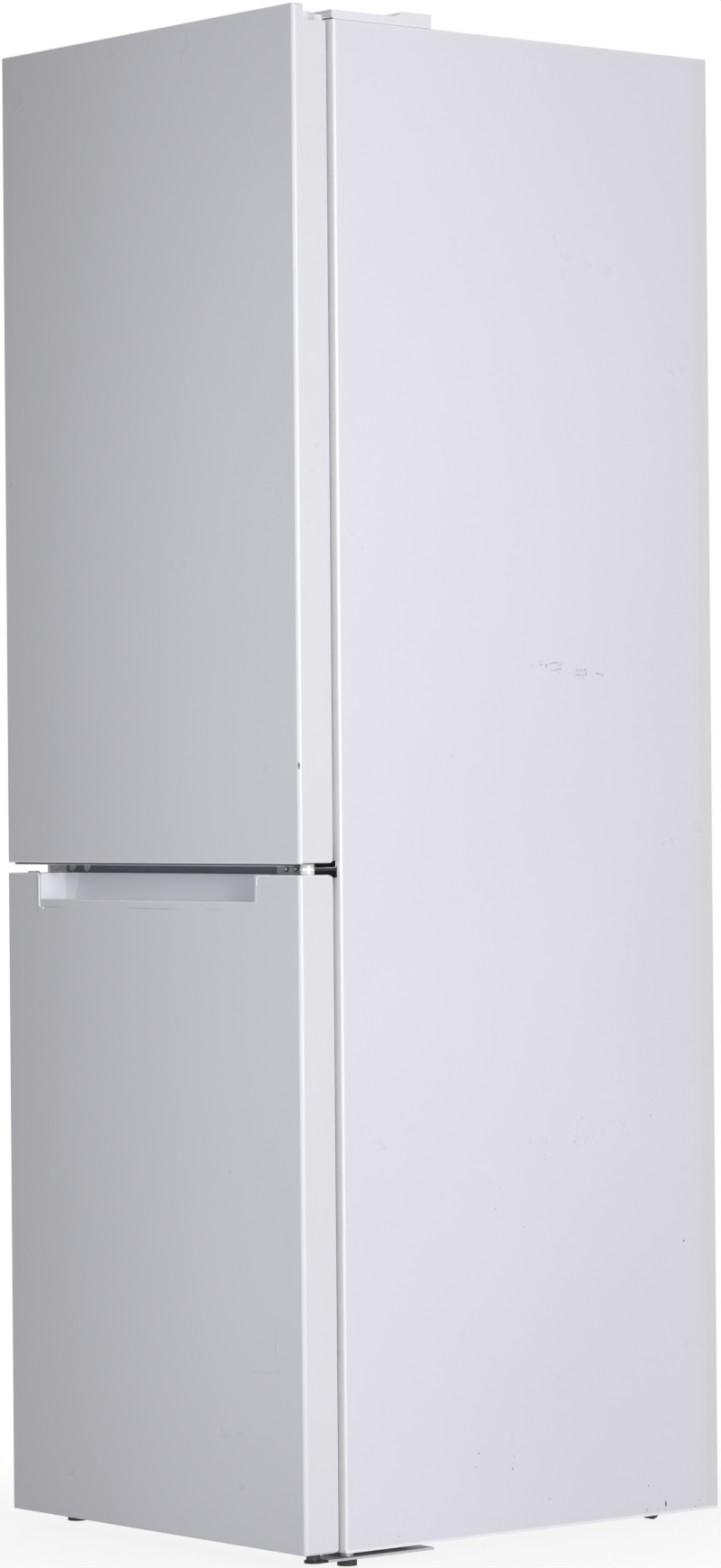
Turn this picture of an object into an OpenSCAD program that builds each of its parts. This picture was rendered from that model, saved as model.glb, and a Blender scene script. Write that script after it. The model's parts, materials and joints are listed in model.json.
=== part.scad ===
// Two-door fridge freezer: a steel cabinet full of insulating foam, a tall fridge door over a
// shorter freezer door, and what stands behind them. Millimetres, +Z up, the doors face -Y,
// the hinges are on the +X side, and the origin is on the floor under the middle.

/* [Cabinet] */
// Width over the side panels
body_w = 595; // [585:1:620]
// Depth of the cabinet behind its doors
body_d = 605.5; // [600:0.5:640]
// Height of the steel cabinet
body_h = 1830; // [1815:1:1900]
// Height of the cabinet's underside above the floor
floor_gap = 18; // [18:0.5:21]
// Thickness of the steel sheet
sheet_t = 1; // [0.8:0.1:1.4]
// Outside radius of the folded steel edges
fold_r = 3; // [2:0.5:5]
// Width of the steel flange that the door seals meet
flange_w = 42; // [40:1:44]
// Width of the flanges folded in at the back and on the top
seam_w = 14; // [10:1:20]
// Height of the steel rail between the two compartments
rail_h = 67; // [64:1:70]
// Depth of the rail's folded edges
rail_d = 12; // [8:1:20]

/* [Compartments] */
// Thickness of the fridge's side walls
fridge_wall = 52.5; // [50:0.5:54]
// Thickness of the freezer's side walls
freezer_wall = 57.5; // [56:0.5:60]
// Thickness of the top wall
wall_top = 56; // [52:1:66]
// Thickness of the bottom wall
wall_bottom = 67; // [62:1:72]
// Thickness of the back wall
wall_back = 72; // [66:1:80]
// Thickness of the wall between the compartments
mullion_h = 81; // [76:1:90]
// Thickness of the plastic liners
liner_t = 2; // [1.2:0.1:3]
// Corner radius of the compartments
cavity_r = 18; // [10:1:24]
// Height of the compressor bay
bay_h = 232; // [225:1:240]
// Depth of the compressor bay
bay_d = 238; // [230:1:245]
// Insulation between the compressor bay and the freezer
bay_wall = 50; // [44:1:56]

/* [Doors] */
// Thickness of both doors
door_t = 50; // [46:1:56]
// Gap between the doors and the cabinet, which the seals fill
door_gap = 12.5; // [11:0.5:15]
// Height of the freezer door
freezer_door_h = 807; // [790:1:815]
// Gap between the two doors
door_split = 13; // [12:0.5:16]
// Height of the freezer door's lower edge above the cabinet's underside
door_foot = 2; // [1:0.5:4]
// Height of the fridge door's front lip above the cabinet's top
lip_rise = 14; // [10:1:16]
// Depth of that lip
lip_d = 15; // [13:0.5:15]
// Depth of the hinge ledge behind the lip, below the cabinet's top
ledge_drop = 5; // [4.5:0.5:7]
// Radius of the doors' upright front edges
door_r = 5; // [3:0.5:7]
// Radius of the doors' corners, seen from the front
corner_r = 4; // [3:0.5:6]
// Radius of the doors' top and bottom front edges
edge_r = 2.5; // [1.5:0.5:4]
// Radius of the doors' top and bottom back edges
rear_r = 6; // [4:0.5:8]
// Depth of the steel folded over the door's ends
fold_lip = 6; // [5:0.5:9]
// Thickness of the plastic end caps
cap_t = 4; // [3:0.5:5]
// Width of the magnetic seals
gasket_w = 18; // [16:0.5:20]
// Distance from the doors' sides to the seals
gasket_side = 21; // [20.5:0.5:23]
// Distance from the doors' ends to the seals
gasket_end = 6; // [5:0.5:7]

/* [Handle recess] */
// Distance from the freezer door's left side to the recess
recess_left = 69.5; // [60:0.5:80]
// Width of the recess
recess_w = 440.5; // [400:0.5:450]
// Height of the recess
recess_h = 33; // [26:1:40]
// Height of the plastic strip under the recess
strip_h = 10; // [6:1:16]
// Depth of the moulded pocket
recess_d = 44; // [38:1:45]
// Wall of the pocket
recess_wall = 2.5; // [2:0.5:4]

/* [Hinges and feet] */
// Distance from the doors' right side to the hinge line
hinge_side = 20; // [19:0.5:22]
// Distance from the doors' front to the hinge line
hinge_front = 27; // [26.5:0.5:28]
// Radius of the hinge pins
pin_r = 5; // [4:0.5:5.5]
// Radial clearance of pins and shafts
running = 0.05; // [0.02:0.01:0.1]
// Thickness of the hinge plates
plate_t = 3; // [2.5:0.5:4]
// Height of the hinge cover's front part
cover_h = 10.5; // [10:0.5:14]
// Height of the hinge cover's raised block
block_h = 17; // [16:0.5:20]
// Radius of the front feet
foot_r = 12; // [11:0.5:14]
// Distance from the doors' front to the front feet
foot_back = 83; // [80:1:95]
// Radius of the rear rollers
roller_r = 12; // [11:0.5:12.5]
// Width of the rear rollers
roller_w = 10; // [8:0.5:12]

/* [Shelves and drawers] */
// Thickness of the glass shelves
glass_t = 4; // [3:0.5:5]
// Distance between the fridge shelves
shelf_pitch = 180; // [165:1:185]
// Height of the crisper drawer
crisper_h = 197; // [170:1:200]
// Height of the freezer's middle drawer
middle_drawer_h = 232; // [200:1:236]
// Wall of the drawers and door bins
tray_wall = 2.5; // [2:0.5:3.5]
// Depth of the small door bins
bin_d = 94; // [80:1:96]
// Height of the small door bins
bin_h = 66; // [50:1:90]
// Height of the bottle bin
bottle_bin_h = 110; // [80:1:130]

/* [Hidden] */
$fn = 48;

// Gap left between pieces that only come close
clear = 0.3;
// Overlap that makes two shapes of one piece a single solid, or a cut pass right through
join = 1;

// Planes of the cabinet and the doors
hw = body_w / 2;
front_y = -(door_t + door_gap + body_d) / 2;
door_y = front_y + door_t;
cab_y = door_y + door_gap;
back_y = cab_y + body_d;
cab_z0 = floor_gap;
cab_z1 = floor_gap + body_h;
flange_x = hw - flange_w;
seam_x = hw - seam_w;
inner_x = hw - sheet_t;

// Heights of the doors
lower_z0 = cab_z0 + door_foot;
lower_z1 = lower_z0 + freezer_door_h;
split_z = lower_z1 + door_split / 2;
upper_z0 = lower_z1 + door_split;
upper_z1 = cab_z1 + lip_rise;
ledge_z = cab_z1 - ledge_drop;

// Compartments
fridge_x = hw - fridge_wall;
freezer_x = hw - freezer_wall;
rail_z0 = split_z - rail_h / 2;
rail_z1 = split_z + rail_h / 2;
freezer_z0 = cab_z0 + wall_bottom;
freezer_z1 = split_z - mullion_h / 2;
fridge_z0 = split_z + mullion_h / 2;
fridge_z1 = cab_z1 - wall_top;
cavity_y = back_y - wall_back;
bay_y = back_y - bay_d;
bay_z = cab_z0 + bay_h;
step_z = bay_z + bay_wall;
step_y = bay_y - bay_wall - 13;

// Hinge line
axis_x = hw - hinge_side;
axis_y = front_y + hinge_front;

// Bushings that turn on the hinge pins
bush_r = pin_r + 2.5;
bush_len = 18;
bush_rim_r = 8.5;
pin_len = bush_len - 2;
boss_w = 30;
boss_h = 20;

// Hinge plates, their screws and the height of each plate
hinge_plate_x0 = axis_x - 61.5;
arm_r = 11;
cover_wall = 1.6;
skirt_gap = 1.2;
nose_h = 6.5;
middle_t = 4;
middle_z0 = split_z - middle_t / 2;
middle_z1 = split_z + middle_t / 2;
bottom_plate_z = floor_gap - 9.5;
screw_r = 2;
screw_head_r = 4;
screw_head_h = 2.5;
top_screws = [[axis_x - 45.5, 35], [axis_x - 15.5, 35], [axis_x - 30.5, 60]];
middle_screws = [axis_x - 81.5, axis_x - 63.5, axis_x - 27.5];
bottom_screw_x = axis_x - 44.5;
bottom_screws = [20, 110];
plug_xs = [20.6 - hw, 57.5 - hw, 88.3 - hw];
plug_r = 5;

// Feet and rollers
foot_x = hw - 25;
foot_y = front_y + foot_back;
foot_h = bottom_plate_z - clear;
stud_r = 4;
base_z = cab_z0 + 4;
base_t = 2;
roller_x = hw - 80;
roller_y = back_y - 44;
axle_r = 2.5;
ear_t = 2;

// Compressor bay
comp_x = 60;
comp_y = back_y - 114;
comp_r = 72;
comp_z0 = base_z + base_t + 14;
comp_h = 162;
comp_foot = [190, 120, 3];
relay_d = 38;
dripping_x = [comp_x - 105, comp_x + 95];
dripping_y = [comp_y - 85, comp_y + 85];
dripping_h = 28;
gland_x = 47.5 - hw;
gland_y = back_y - 44;
gland_r = 11;
gland_bore_r = 4;
gland_h = 12;

// Shelves, their ledges and trims
ledge_w = 9;
ledge_h = 6;
shelf_clear = 1.5;
shelf_y0 = cab_y + 105;
duct_d = 22;
shelf_y1 = cavity_y - duct_d - 2;
crisper_cover_z = fridge_z0 + crisper_h + 11;
// Least height over the highest shelf, which decides how many shelves there are
top_shelf_room = 110;
shelf_count = max(0, floor((fridge_z1 - top_shelf_room - crisper_cover_z) / shelf_pitch));
shelf_zs = [for (i = [0:shelf_count]) crisper_cover_z + i * shelf_pitch];
trim_lap = 8;
trim_edge = 4;
freezer_shelf_y0 = cab_y + 49.5;
freezer_upper_z = step_z + middle_drawer_h + 9;

// Drawers
drawer_y0 = cab_y + 39.5;
drawer_x = freezer_x - 10;
crisper_x = fridge_x - 17;
crisper_y0 = cab_y + 121.5;
rim_w = 5;
drawer_front_t = 4;

// Evaporator, its cover and its fan
cover_y = cavity_y - 66;
cover_t = 3;
fan_z = freezer_z1 - 103;
fan_r = 46;
hub_r = 14;
shaft_r = 3;
hub_y = cover_y + cover_t + 9;
motor_y = cavity_y - 30;
coil_z0 = step_z + 85;
coil_h = 175;
coil_x = 180;

// Control box
control_x = 110;
control_y0 = cab_y + 81.5;
control_d = 180;
control_h = 30;
dial_r = 18;
dial_h = 12;

// Heights of the bins in the fridge door, as many as fit under the control box
bottle_bin_z = fridge_z0 + 40;
bottle_room = 288;
bin_pitch = 300;
bin_room = 10;
bin_zs = [for (z = [bottle_bin_z + bottle_bin_h + bottle_room : bin_pitch :
                    fridge_z1 - control_h - bin_h - bin_room]) z];

// Lean of the handle recess's back wall over its height, and width of its slanted ends
recess_lean = 2;
facet_w = 30;

// Lip of the fridge door's lower cap, which hangs behind the sheet's folded edge
cap_lip_h = 2.4;
cap_lip_back = 2;
cap_lip_x = [14.5 - hw, axis_x - 16.5];

// Ridges moulded in the door liners
ridge_x1 = fridge_x - 10;
ridge_w = 20;
ridge_h = 44;
freezer_ridge_x = freezer_x - 21;
freezer_ridge_h = 15;
freezer_ridge_w = 17;

module block(x0, x1, y0, y1, z0, z1) {
  translate([x0, y0, z0]) cube([x1 - x0, y1 - y0, z1 - z0]);
}

// A block and its mirror image on the other side
module pair(x0, x1, y0, y1, z0, z1) {
  block(x0, x1, y0, y1, z0, z1);
  block(-x1, -x0, y0, y1, z0, z1);
}

module rounded_rect(x0, x1, y0, y1, r) {
  translate([x0 + r, y0]) square([x1 - x0 - 2 * r, y1 - y0]);
  translate([x0, y0 + r]) square([x1 - x0, y1 - y0 - 2 * r]);
  for (x = [x0 + r, x1 - r], y = [y0 + r, y1 - r]) translate([x, y]) circle(r);
}

// Extrudes an X-Z outline from y0 to y1
module span_y(y0, y1) {
  translate([0, y1, 0]) rotate([90, 0, 0]) linear_extrude(y1 - y0) children();
}

// Extrudes a Y-Z outline from x0 to x1
module span_x(x0, x1) {
  translate([x0, 0, 0]) rotate([90, 0, 90]) linear_extrude(x1 - x0) children();
}

module rod_y(x, z, r, y0, y1) {
  translate([x, y1, z]) rotate([90, 0, 0]) cylinder(r = r, h = y1 - y0);
}

module rod_z(x, y, r, z0, z1) {
  translate([x, y, z0]) cylinder(r = r, h = z1 - z0);
}

// The cabinet's outer form, set in by a distance and carried down below its open underside
module cabinet_form(inset, drop) {
  intersection() {
    translate([0, 0, cab_z0 - drop]) linear_extrude(body_h + drop)
      rounded_rect(-hw + inset, hw - inset, cab_y + inset, back_y - inset, fold_r - inset);
    span_y(cab_y - join, back_y + join)
      rounded_rect(-hw + inset, hw - inset, cab_z0 - 50, cab_z1 - inset, fold_r - inset);
  }
}

module cabinet_skin() {
  difference() {
    cabinet_form(0, 0);
    cabinet_form(sheet_t, join);
  }
}

module right_side_panel_form() {
  difference() {
    intersection() {
      cabinet_skin();
      block(flange_x, hw + join, cab_y - join, back_y + join, cab_z0 - join, cab_z1 + join);
    }
    block(flange_x - join, seam_x, cab_y + sheet_t, back_y + join, cab_z1 - 2 * sheet_t, cab_z1 + join);
    block(flange_x - join, seam_x, back_y - 2 * sheet_t, back_y + join, cab_z0 - join, cab_z1 + join);
  }
}

module right_side_panel() {
  color("white") right_side_panel_form();
}

module left_side_panel() {
  color("white") mirror([1, 0, 0]) right_side_panel_form();
}

module top_panel() {
  color("white") difference() {
    intersection() {
      cabinet_skin();
      block(-seam_x, seam_x, cab_y - join, back_y + join, cab_z1 - flange_w, cab_z1 + join);
    }
    pair(flange_x, seam_x + join, cab_y - join, cab_y + sheet_t, cab_z1 - flange_w - join, cab_z1 + join);
    block(-hw, hw, back_y - 2 * sheet_t, back_y + join, cab_z1 - flange_w - join, cab_z1 - seam_w);
    for (s = top_screws) rod_z(s[0], cab_y + s[1], screw_r, cab_z1 - 2 * sheet_t, cab_z1 + join);
  }
}

module back_panel() {
  color("gainsboro") intersection() {
    cabinet_form(sheet_t, 0);
    block(-hw, hw, back_y - 2 * sheet_t, back_y, bay_z, cab_z1 - sheet_t - fold_r);
  }
}

// One folded sheet: front flange, floor, riser and the roof of the compressor bay
module base_pan() {
  color("lightgray") difference() {
    union() {
      block(-flange_x, flange_x, cab_y, cab_y + sheet_t, cab_z0, cab_z0 + flange_w);
      block(-inner_x, inner_x, cab_y + sheet_t, bay_y, cab_z0, cab_z0 + sheet_t);
      block(-flange_x, flange_x, cab_y, cab_y + 2 * sheet_t, cab_z0, cab_z0 + sheet_t);
      block(-inner_x, inner_x, bay_y - sheet_t, bay_y, cab_z0, bay_z + sheet_t);
      intersection() {
        cabinet_form(sheet_t, 0);
        block(-hw, hw, bay_y - sheet_t, back_y - 2 * sheet_t, bay_z, bay_z + sheet_t);
      }
      rod_z(-foot_x, foot_y, stud_r + 5, foot_h + clear, cab_z0 + sheet_t);
    }
    rod_z(-foot_x, foot_y, stud_r + running, 0, cab_z0 + 2 * sheet_t);
    for (y = bottom_screws) rod_z(bottom_screw_x, cab_y + y, screw_r, cab_z0 - join, cab_z0 + 2 * sheet_t);
  }
}

// Steel plate that carries the compressor and the rear rollers
module compressor_base() {
  color("silver") {
    difference() {
      union() {
        block(-inner_x, inner_x, bay_y, back_y - 2 * sheet_t, base_z, base_z + base_t);
        for (side = [-1, 1], dx = [-1, 1]) roller_ear(side * roller_x + dx * (roller_w / 2 + clear + ear_t / 2));
      }
      for (side = [-1, 1])
        block(side * roller_x - roller_w / 2 - clear, side * roller_x + roller_w / 2 + clear,
              roller_y - roller_r - 2, roller_y + roller_r + 2, base_z - join, base_z + base_t + join);
      for (side = [-1, 1]) axle(side, axle_r);
    }
  }
}

module roller_ear(x) {
  block(x - ear_t / 2, x + ear_t / 2, roller_y - 8, roller_y + 8, roller_r - 5, base_z + join);
}

module axle(side, r) {
  translate([side * roller_x - roller_w / 2 - clear - ear_t, roller_y, roller_r])
    rotate([0, 90, 0]) cylinder(r = r, h = roller_w + 2 * (clear + ear_t));
}

module roller_axles() {
  color("silver") for (side = [-1, 1]) axle(side, axle_r);
}

module rear_roller(side) {
  color("dimgray") difference() {
    translate([side * roller_x - roller_w / 2, roller_y, roller_r])
      rotate([0, 90, 0]) cylinder(r = roller_r, h = roller_w);
    axle(side, axle_r + running);
  }
}

module rear_roller_left() {
  rear_roller(-1);
}

module rear_roller_right() {
  rear_roller(1);
}

module front_foot(side) {
  color("dimgray") {
    difference() {
      rod_z(side * foot_x, foot_y, foot_r, 0, foot_h);
      for (a = [0:30:330]) translate([side * foot_x, foot_y, 2]) rotate(a)
        translate([foot_r + 0.6, 0, 0]) cylinder(r = 1.4, h = foot_h, $fn = 16);
    }
    rod_z(side * foot_x, foot_y, stud_r, foot_h - join, cab_z0 - 1);
  }
}

module front_foot_left() {
  front_foot(-1);
}

module front_foot_right() {
  front_foot(1);
}

// The two compartments as solids, grown by a distance and starting at a given depth
module fridge_space(grow, y0) {
  span_y(y0, cavity_y + grow)
    rounded_rect(-fridge_x - grow, fridge_x + grow, fridge_z0 - grow, fridge_z1 + grow, cavity_r + grow);
}

module freezer_space(grow, y0) {
  span_y(y0, step_y + grow)
    rounded_rect(-freezer_x - grow, freezer_x + grow, freezer_z0 - grow, freezer_z1 + grow, cavity_r + grow);
  span_y(y0, cavity_y + grow)
    rounded_rect(-freezer_x - grow, freezer_x + grow, step_z - grow, freezer_z1 + grow, cavity_r + grow);
}

module insulation_foam() {
  color("khaki") difference() {
    cabinet_form(sheet_t, 0);
    block(-hw, hw, cab_y, back_y, cab_z0 - join, cab_z0 + sheet_t);
    block(-hw, hw, bay_y - sheet_t, back_y, cab_z0 - join, bay_z + sheet_t);
    block(-hw, hw, back_y - 2 * sheet_t, back_y, cab_z0 - join, cab_z1 + join);
    block(-flange_x, flange_x, cab_y - join, cab_y + rail_d, rail_z0, rail_z1);
    fridge_space(liner_t, cab_y - join);
    freezer_space(liner_t, cab_y - join);
  }
}

// A pair of ledges in a compartment that carry one shelf
module shelf_ledges(wall_x, y0, y1, shelf_z) {
  pair(wall_x - ledge_w, wall_x + join, y0, y1, shelf_z - ledge_h, shelf_z);
}

module fridge_liner() {
  color("white") {
    difference() {
      union() {
        fridge_space(liner_t, cab_y);
        block(-flange_x, flange_x, cab_y, cab_y + sheet_t, rail_z1, cab_z1 - flange_w);
      }
      fridge_space(0, cab_y - join);
    }
    for (z = shelf_zs) shelf_ledges(fridge_x, shelf_y0 + trim_lap + 2, shelf_y1 - 3, z);
  }
}

module freezer_liner() {
  color("white") {
    difference() {
      union() {
        freezer_space(liner_t, cab_y);
        block(-flange_x, flange_x, cab_y, cab_y + sheet_t, cab_z0 + flange_w, rail_z0);
      }
      freezer_space(0, cab_y - join);
    }
    shelf_ledges(freezer_x, freezer_shelf_y0 + trim_lap + 2, cover_y - 10, freezer_upper_z);
    shelf_ledges(freezer_x, freezer_shelf_y0 + trim_lap + 2, step_y + join, step_z - glass_t);
  }
}

module middle_rail() {
  color("gray") difference() {
    block(-flange_x, flange_x, cab_y, cab_y + rail_d, rail_z0, rail_z1);
    block(-flange_x - join, flange_x + join, cab_y + sheet_t, cab_y + rail_d + join,
          rail_z0 + sheet_t, rail_z1 - sheet_t);
    for (x = middle_screws) rod_y(x, split_z, screw_r, cab_y - join, cab_y + 2 * sheet_t);
  }
}

module shelf_glass(wall_x, y0, y1, z) {
  block(-wall_x + shelf_clear, wall_x - shelf_clear, y0, y1, z, z + glass_t);
}

module fridge_shelf_glasses() {
  for (z = shelf_zs) shelf_glass(fridge_x, shelf_y0, shelf_y1, z);
}

module freezer_shelf_glasses() {
  shelf_glass(freezer_x, freezer_shelf_y0, cover_y - 2, freezer_upper_z);
  shelf_glass(freezer_x, freezer_shelf_y0, step_y - clear, step_z - glass_t);
}

module fridge_shelves() {
  color("lightcyan") fridge_shelf_glasses();
}

module freezer_shelves() {
  color("lightcyan") freezer_shelf_glasses();
}

module trim_strip(wall_x, y0, z, height) {
  block(-wall_x + shelf_clear + 1, wall_x - shelf_clear - 1, y0 - trim_edge, y0 + trim_lap,
        z - 3, z - 3 + height);
}

// Plastic strips that grip the front edge of each glass shelf
module shelf_trims() {
  color("whitesmoke") difference() {
    union() {
      for (z = shelf_zs) trim_strip(fridge_x, shelf_y0, z, glass_t + 6);
      trim_strip(freezer_x, freezer_shelf_y0, freezer_upper_z, glass_t + 4);
      trim_strip(freezer_x, freezer_shelf_y0, step_z - glass_t, glass_t + 3);
    }
    fridge_shelf_glasses();
    freezer_shelf_glasses();
  }
}

// An open tray with a rim and a finger notch in its front
module tray(x, y0, y1, z0, z1, notch_w) {
  difference() {
    union() {
      block(-x + rim_w, x - rim_w, y0, y1 - rim_w, z0, z1);
      block(-x, x, y0, y1, z1 - 4, z1);
    }
    block(-x + rim_w + tray_wall, x - rim_w - tray_wall, y0 + drawer_front_t, y1 - rim_w - tray_wall,
          z0 + tray_wall, z1 + join);
    span_y(y0 - join, y0 + drawer_front_t + join)
      rounded_rect(-notch_w / 2, notch_w / 2, z1 - 28, z1 + 30, 12);
  }
}

module crisper_drawer() {
  color("aliceblue")
    tray(crisper_x, crisper_y0, shelf_y1 - 6, fridge_z0 + clear, fridge_z0 + crisper_h, 160);
}

module freezer_drawer_top() {
  color("aliceblue")
    tray(drawer_x, drawer_y0, cover_y - 6, freezer_upper_z + glass_t + clear + 1, freezer_z1 - 6, 160);
}

module freezer_drawer_middle() {
  color("aliceblue")
    tray(drawer_x, drawer_y0, cover_y - 6, step_z + clear, step_z + middle_drawer_h, 160);
}

module freezer_drawer_bottom() {
  color("aliceblue")
    tray(drawer_x, drawer_y0, step_y - 6, freezer_z0 + clear, step_z - glass_t - 8, 160);
}

// Duct on the fridge's back wall, with a slot above each shelf
module air_duct_panel() {
  color("whitesmoke") difference() {
    span_y(cavity_y - duct_d, cavity_y) rounded_rect(-80, 80, fridge_z0 + 10, fridge_z1 - 6, 10);
    block(-77, 77, cavity_y - duct_d + 3, cavity_y + join, fridge_z0 + 13, fridge_z1 - 9);
    for (z = shelf_zs, dz = [70, 86]) span_y(cavity_y - duct_d - join, cavity_y - duct_d + 4)
      rounded_rect(-45, 45, z + dz, z + dz + 7, 3);
  }
}

// Housing of lamp and thermostat on the fridge's ceiling, open towards the ceiling
module control_box() {
  lens_y = control_y0 + 90;
  color("whitesmoke") difference() {
    block(-control_x, control_x, control_y0, control_y0 + control_d, fridge_z1 - control_h, fridge_z1);
    block(-control_x + 3, control_x - 3, control_y0 + 3, control_y0 + control_d - 3,
          fridge_z1 - control_h + 3, fridge_z1 + join);
    block(-50, 50, lens_y - 28, lens_y + 28, fridge_z1 - control_h - join, fridge_z1 - control_h + 4);
    rod_y(0, fridge_z1 - control_h / 2, shaft_r + running, control_y0 - join, control_y0 + 4);
  }
}

module led_lamp_lens() {
  lens_y = control_y0 + 90;
  color("white")
    block(-50, 50, lens_y - 28, lens_y + 28, fridge_z1 - control_h, fridge_z1 - control_h + 3);
}

module temperature_dial() {
  z = fridge_z1 - control_h / 2;
  color("white") {
    difference() {
      rod_y(0, z, dial_r - 4, control_y0 - clear - dial_h, control_y0 - clear);
      block(-dial_r, dial_r, control_y0 - dial_h - 2, control_y0 - dial_h + 3, z + 2, z + dial_r);
      block(-dial_r, dial_r, control_y0 - dial_h - 2, control_y0 - dial_h + 3, z - dial_r, z - 2);
    }
    rod_y(0, z, shaft_r, control_y0 - clear - join, control_y0 + 10);
  }
}

// Finned coil on the back wall, with the defrost heater clipped under it
module evaporator() {
  color("silver") {
    for (i = [0:24]) block(-coil_x + 15 * i - 0.4, -coil_x + 15 * i + 0.4, cavity_y - 54, cavity_y - 8,
                           coil_z0, coil_z0 + coil_h);
    pair(coil_x + 4, coil_x + 5.5, cavity_y - 54, cavity_y, coil_z0, coil_z0 + coil_h);
    for (y = [cavity_y - 42, cavity_y - 20]) coil_row(y);
    pair(150, 151.5, cavity_y - 45, cavity_y - 33, coil_z0 - 22, coil_z0 + join);
    translate([-coil_x, cavity_y - 39, coil_z0 - 17]) rotate([0, 90, 0]) cylinder(r = 4, h = 2 * coil_x);
  }
}

// Six straight tubes and the bends that join them into one run
module coil_row(y) {
  for (i = [0:5]) translate([-coil_x - 8, y, coil_z0 + 12 + 30 * i])
    rotate([0, 90, 0]) cylinder(r = 4, h = 2 * coil_x + 16);
  for (i = [0:4]) translate([(i % 2 == 0 ? 1 : -1) * (coil_x + 8), y, coil_z0 + 27 + 30 * i])
    rotate([90, 0, 0]) rotate(i % 2 == 0 ? -90 : 90) rotate_extrude(angle = 180)
      translate([15, 0]) circle(4);
}

// Plate in front of the coil, with the fan's grille and the return slots
module freezer_back_cover() {
  color("white") difference() {
    union() {
      block(-freezer_x + 2, freezer_x - 2, cover_y, cover_y + cover_t, step_z + 1, freezer_z1 - 1);
      pair(freezer_x - 24, freezer_x - 21, cover_y, cavity_y, step_z + 20, freezer_z1 - 20);
    }
    for (side = [-1, 1], z = [0, 1]) cover_corner(side, z);
    for (i = [-4:4]) intersection() {
      rod_y(0, fan_z, fan_r + 4, cover_y - join, cover_y + cover_t + join);
      block(-fan_r - 5, fan_r + 5, cover_y - 2, cover_y + cover_t + 2, fan_z + 11 * i - 3.5, fan_z + 11 * i + 3.5);
    }
    for (i = [-5:5]) span_y(cover_y - join, cover_y + cover_t + join)
      rounded_rect(30 * i - 10, 30 * i + 10, step_z + 22, step_z + 29, 3);
  }
}

// Room for the liner's rounded corners
module cover_corner(side, top) {
  r = cavity_r;
  x = side * (freezer_x - r);
  z = top == 1 ? freezer_z1 - r : step_z + r;
  dz = top == 1 ? 0 : -r - join;
  difference() {
    block(side > 0 ? x : x - r - join, side > 0 ? x + r + join : x, cover_y - join, cover_y + cover_t + join,
          z + dz, z + dz + r + join);
    rod_y(x, z, r - 2, cover_y - 2, cover_y + cover_t + 2);
  }
}

module fan_motor() {
  color("dimgray") {
    rod_y(0, fan_z, 22, motor_y, cavity_y - 4);
    rod_y(0, fan_z, shaft_r, hub_y + 4, motor_y + join);
    block(-58, 58, cavity_y - 5, cavity_y, fan_z - 9, fan_z + 9);
    block(-9, 9, cavity_y - 5, cavity_y, fan_z - 58, fan_z + 58);
  }
}

module evaporator_fan() {
  color("whitesmoke") difference() {
    union() {
      rod_y(0, fan_z, hub_r, hub_y, hub_y + 16);
      for (i = [0:4]) translate([0, hub_y + 8, fan_z]) rotate([0, 72 * i, 0])
        translate([hub_r - 1, 0, 0]) rotate([35, 0, 0]) translate([0, -0.8, -12])
          cube([fan_r - hub_r, 1.6, 24]);
    }
    rod_y(0, fan_z, shaft_r + running, hub_y + 4, hub_y + 16 + join);
  }
}

// Sealed steel shell with its foot plate and pipe stubs
module compressor() {
  color("dimgray") {
    translate([comp_x, comp_y, comp_z0 + comp_foot[2] - join]) rotate_extrude() intersection() {
      rounded_rect(-comp_r, comp_r, -30, comp_h - comp_foot[2] + join, 42);
      square([comp_r, comp_h]);
    }
    rod_z(comp_x, comp_y, comp_r + 3, comp_z0 + 78, comp_z0 + 82);
    translate([comp_x - comp_foot[0] / 2, comp_y - comp_foot[1] / 2, comp_z0]) cube(comp_foot);
    for (z = [60, 100]) translate([comp_x - comp_r - 10, comp_y, comp_z0 + z])
      rotate([0, 90, 0]) cylinder(r = 5, h = 14);
  }
}

module compressor_grommets() {
  color("black") for (dx = [-1, 1], dy = [-1, 1])
    rod_z(comp_x + dx * (comp_foot[0] / 2 - 14), comp_y + dy * (comp_foot[1] / 2 - 14), 11,
          base_z + base_t, comp_z0);
}

module start_relay_box() {
  color("black") difference() {
    block(comp_x + comp_r - 6, comp_x + comp_r + relay_d, comp_y - 26, comp_y + 26, comp_z0 + 15, comp_z0 + 74);
    rod_z(comp_x, comp_y, comp_r + clear, comp_z0, comp_z0 + 90);
  }
}

// Tray on top of the compressor that catches the defrost water
module drip_tray() {
  z = comp_z0 + comp_h + clear;
  color("black") difference() {
    block(dripping_x[0], dripping_x[1], dripping_y[0], dripping_y[1], z, z + dripping_h);
    block(dripping_x[0] + liner_t, dripping_x[1] - liner_t, dripping_y[0] + liner_t, dripping_y[1] - liner_t,
          z + liner_t, z + dripping_h + join);
  }
}

// A round tube along straight runs, with a ball at each corner
module pipe_run(points, r) {
  for (i = [0:len(points) - 2]) pipe_piece(points[i], points[i + 1], r);
  for (i = [1:len(points) - 2]) translate(points[i]) sphere(r);
}

module pipe_piece(a, b, r) {
  d = b - a;
  length = norm(d);
  translate(a) rotate([0, acos(d[2] / length), atan2(d[1], d[0])]) cylinder(r = r, h = length);
}

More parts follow.
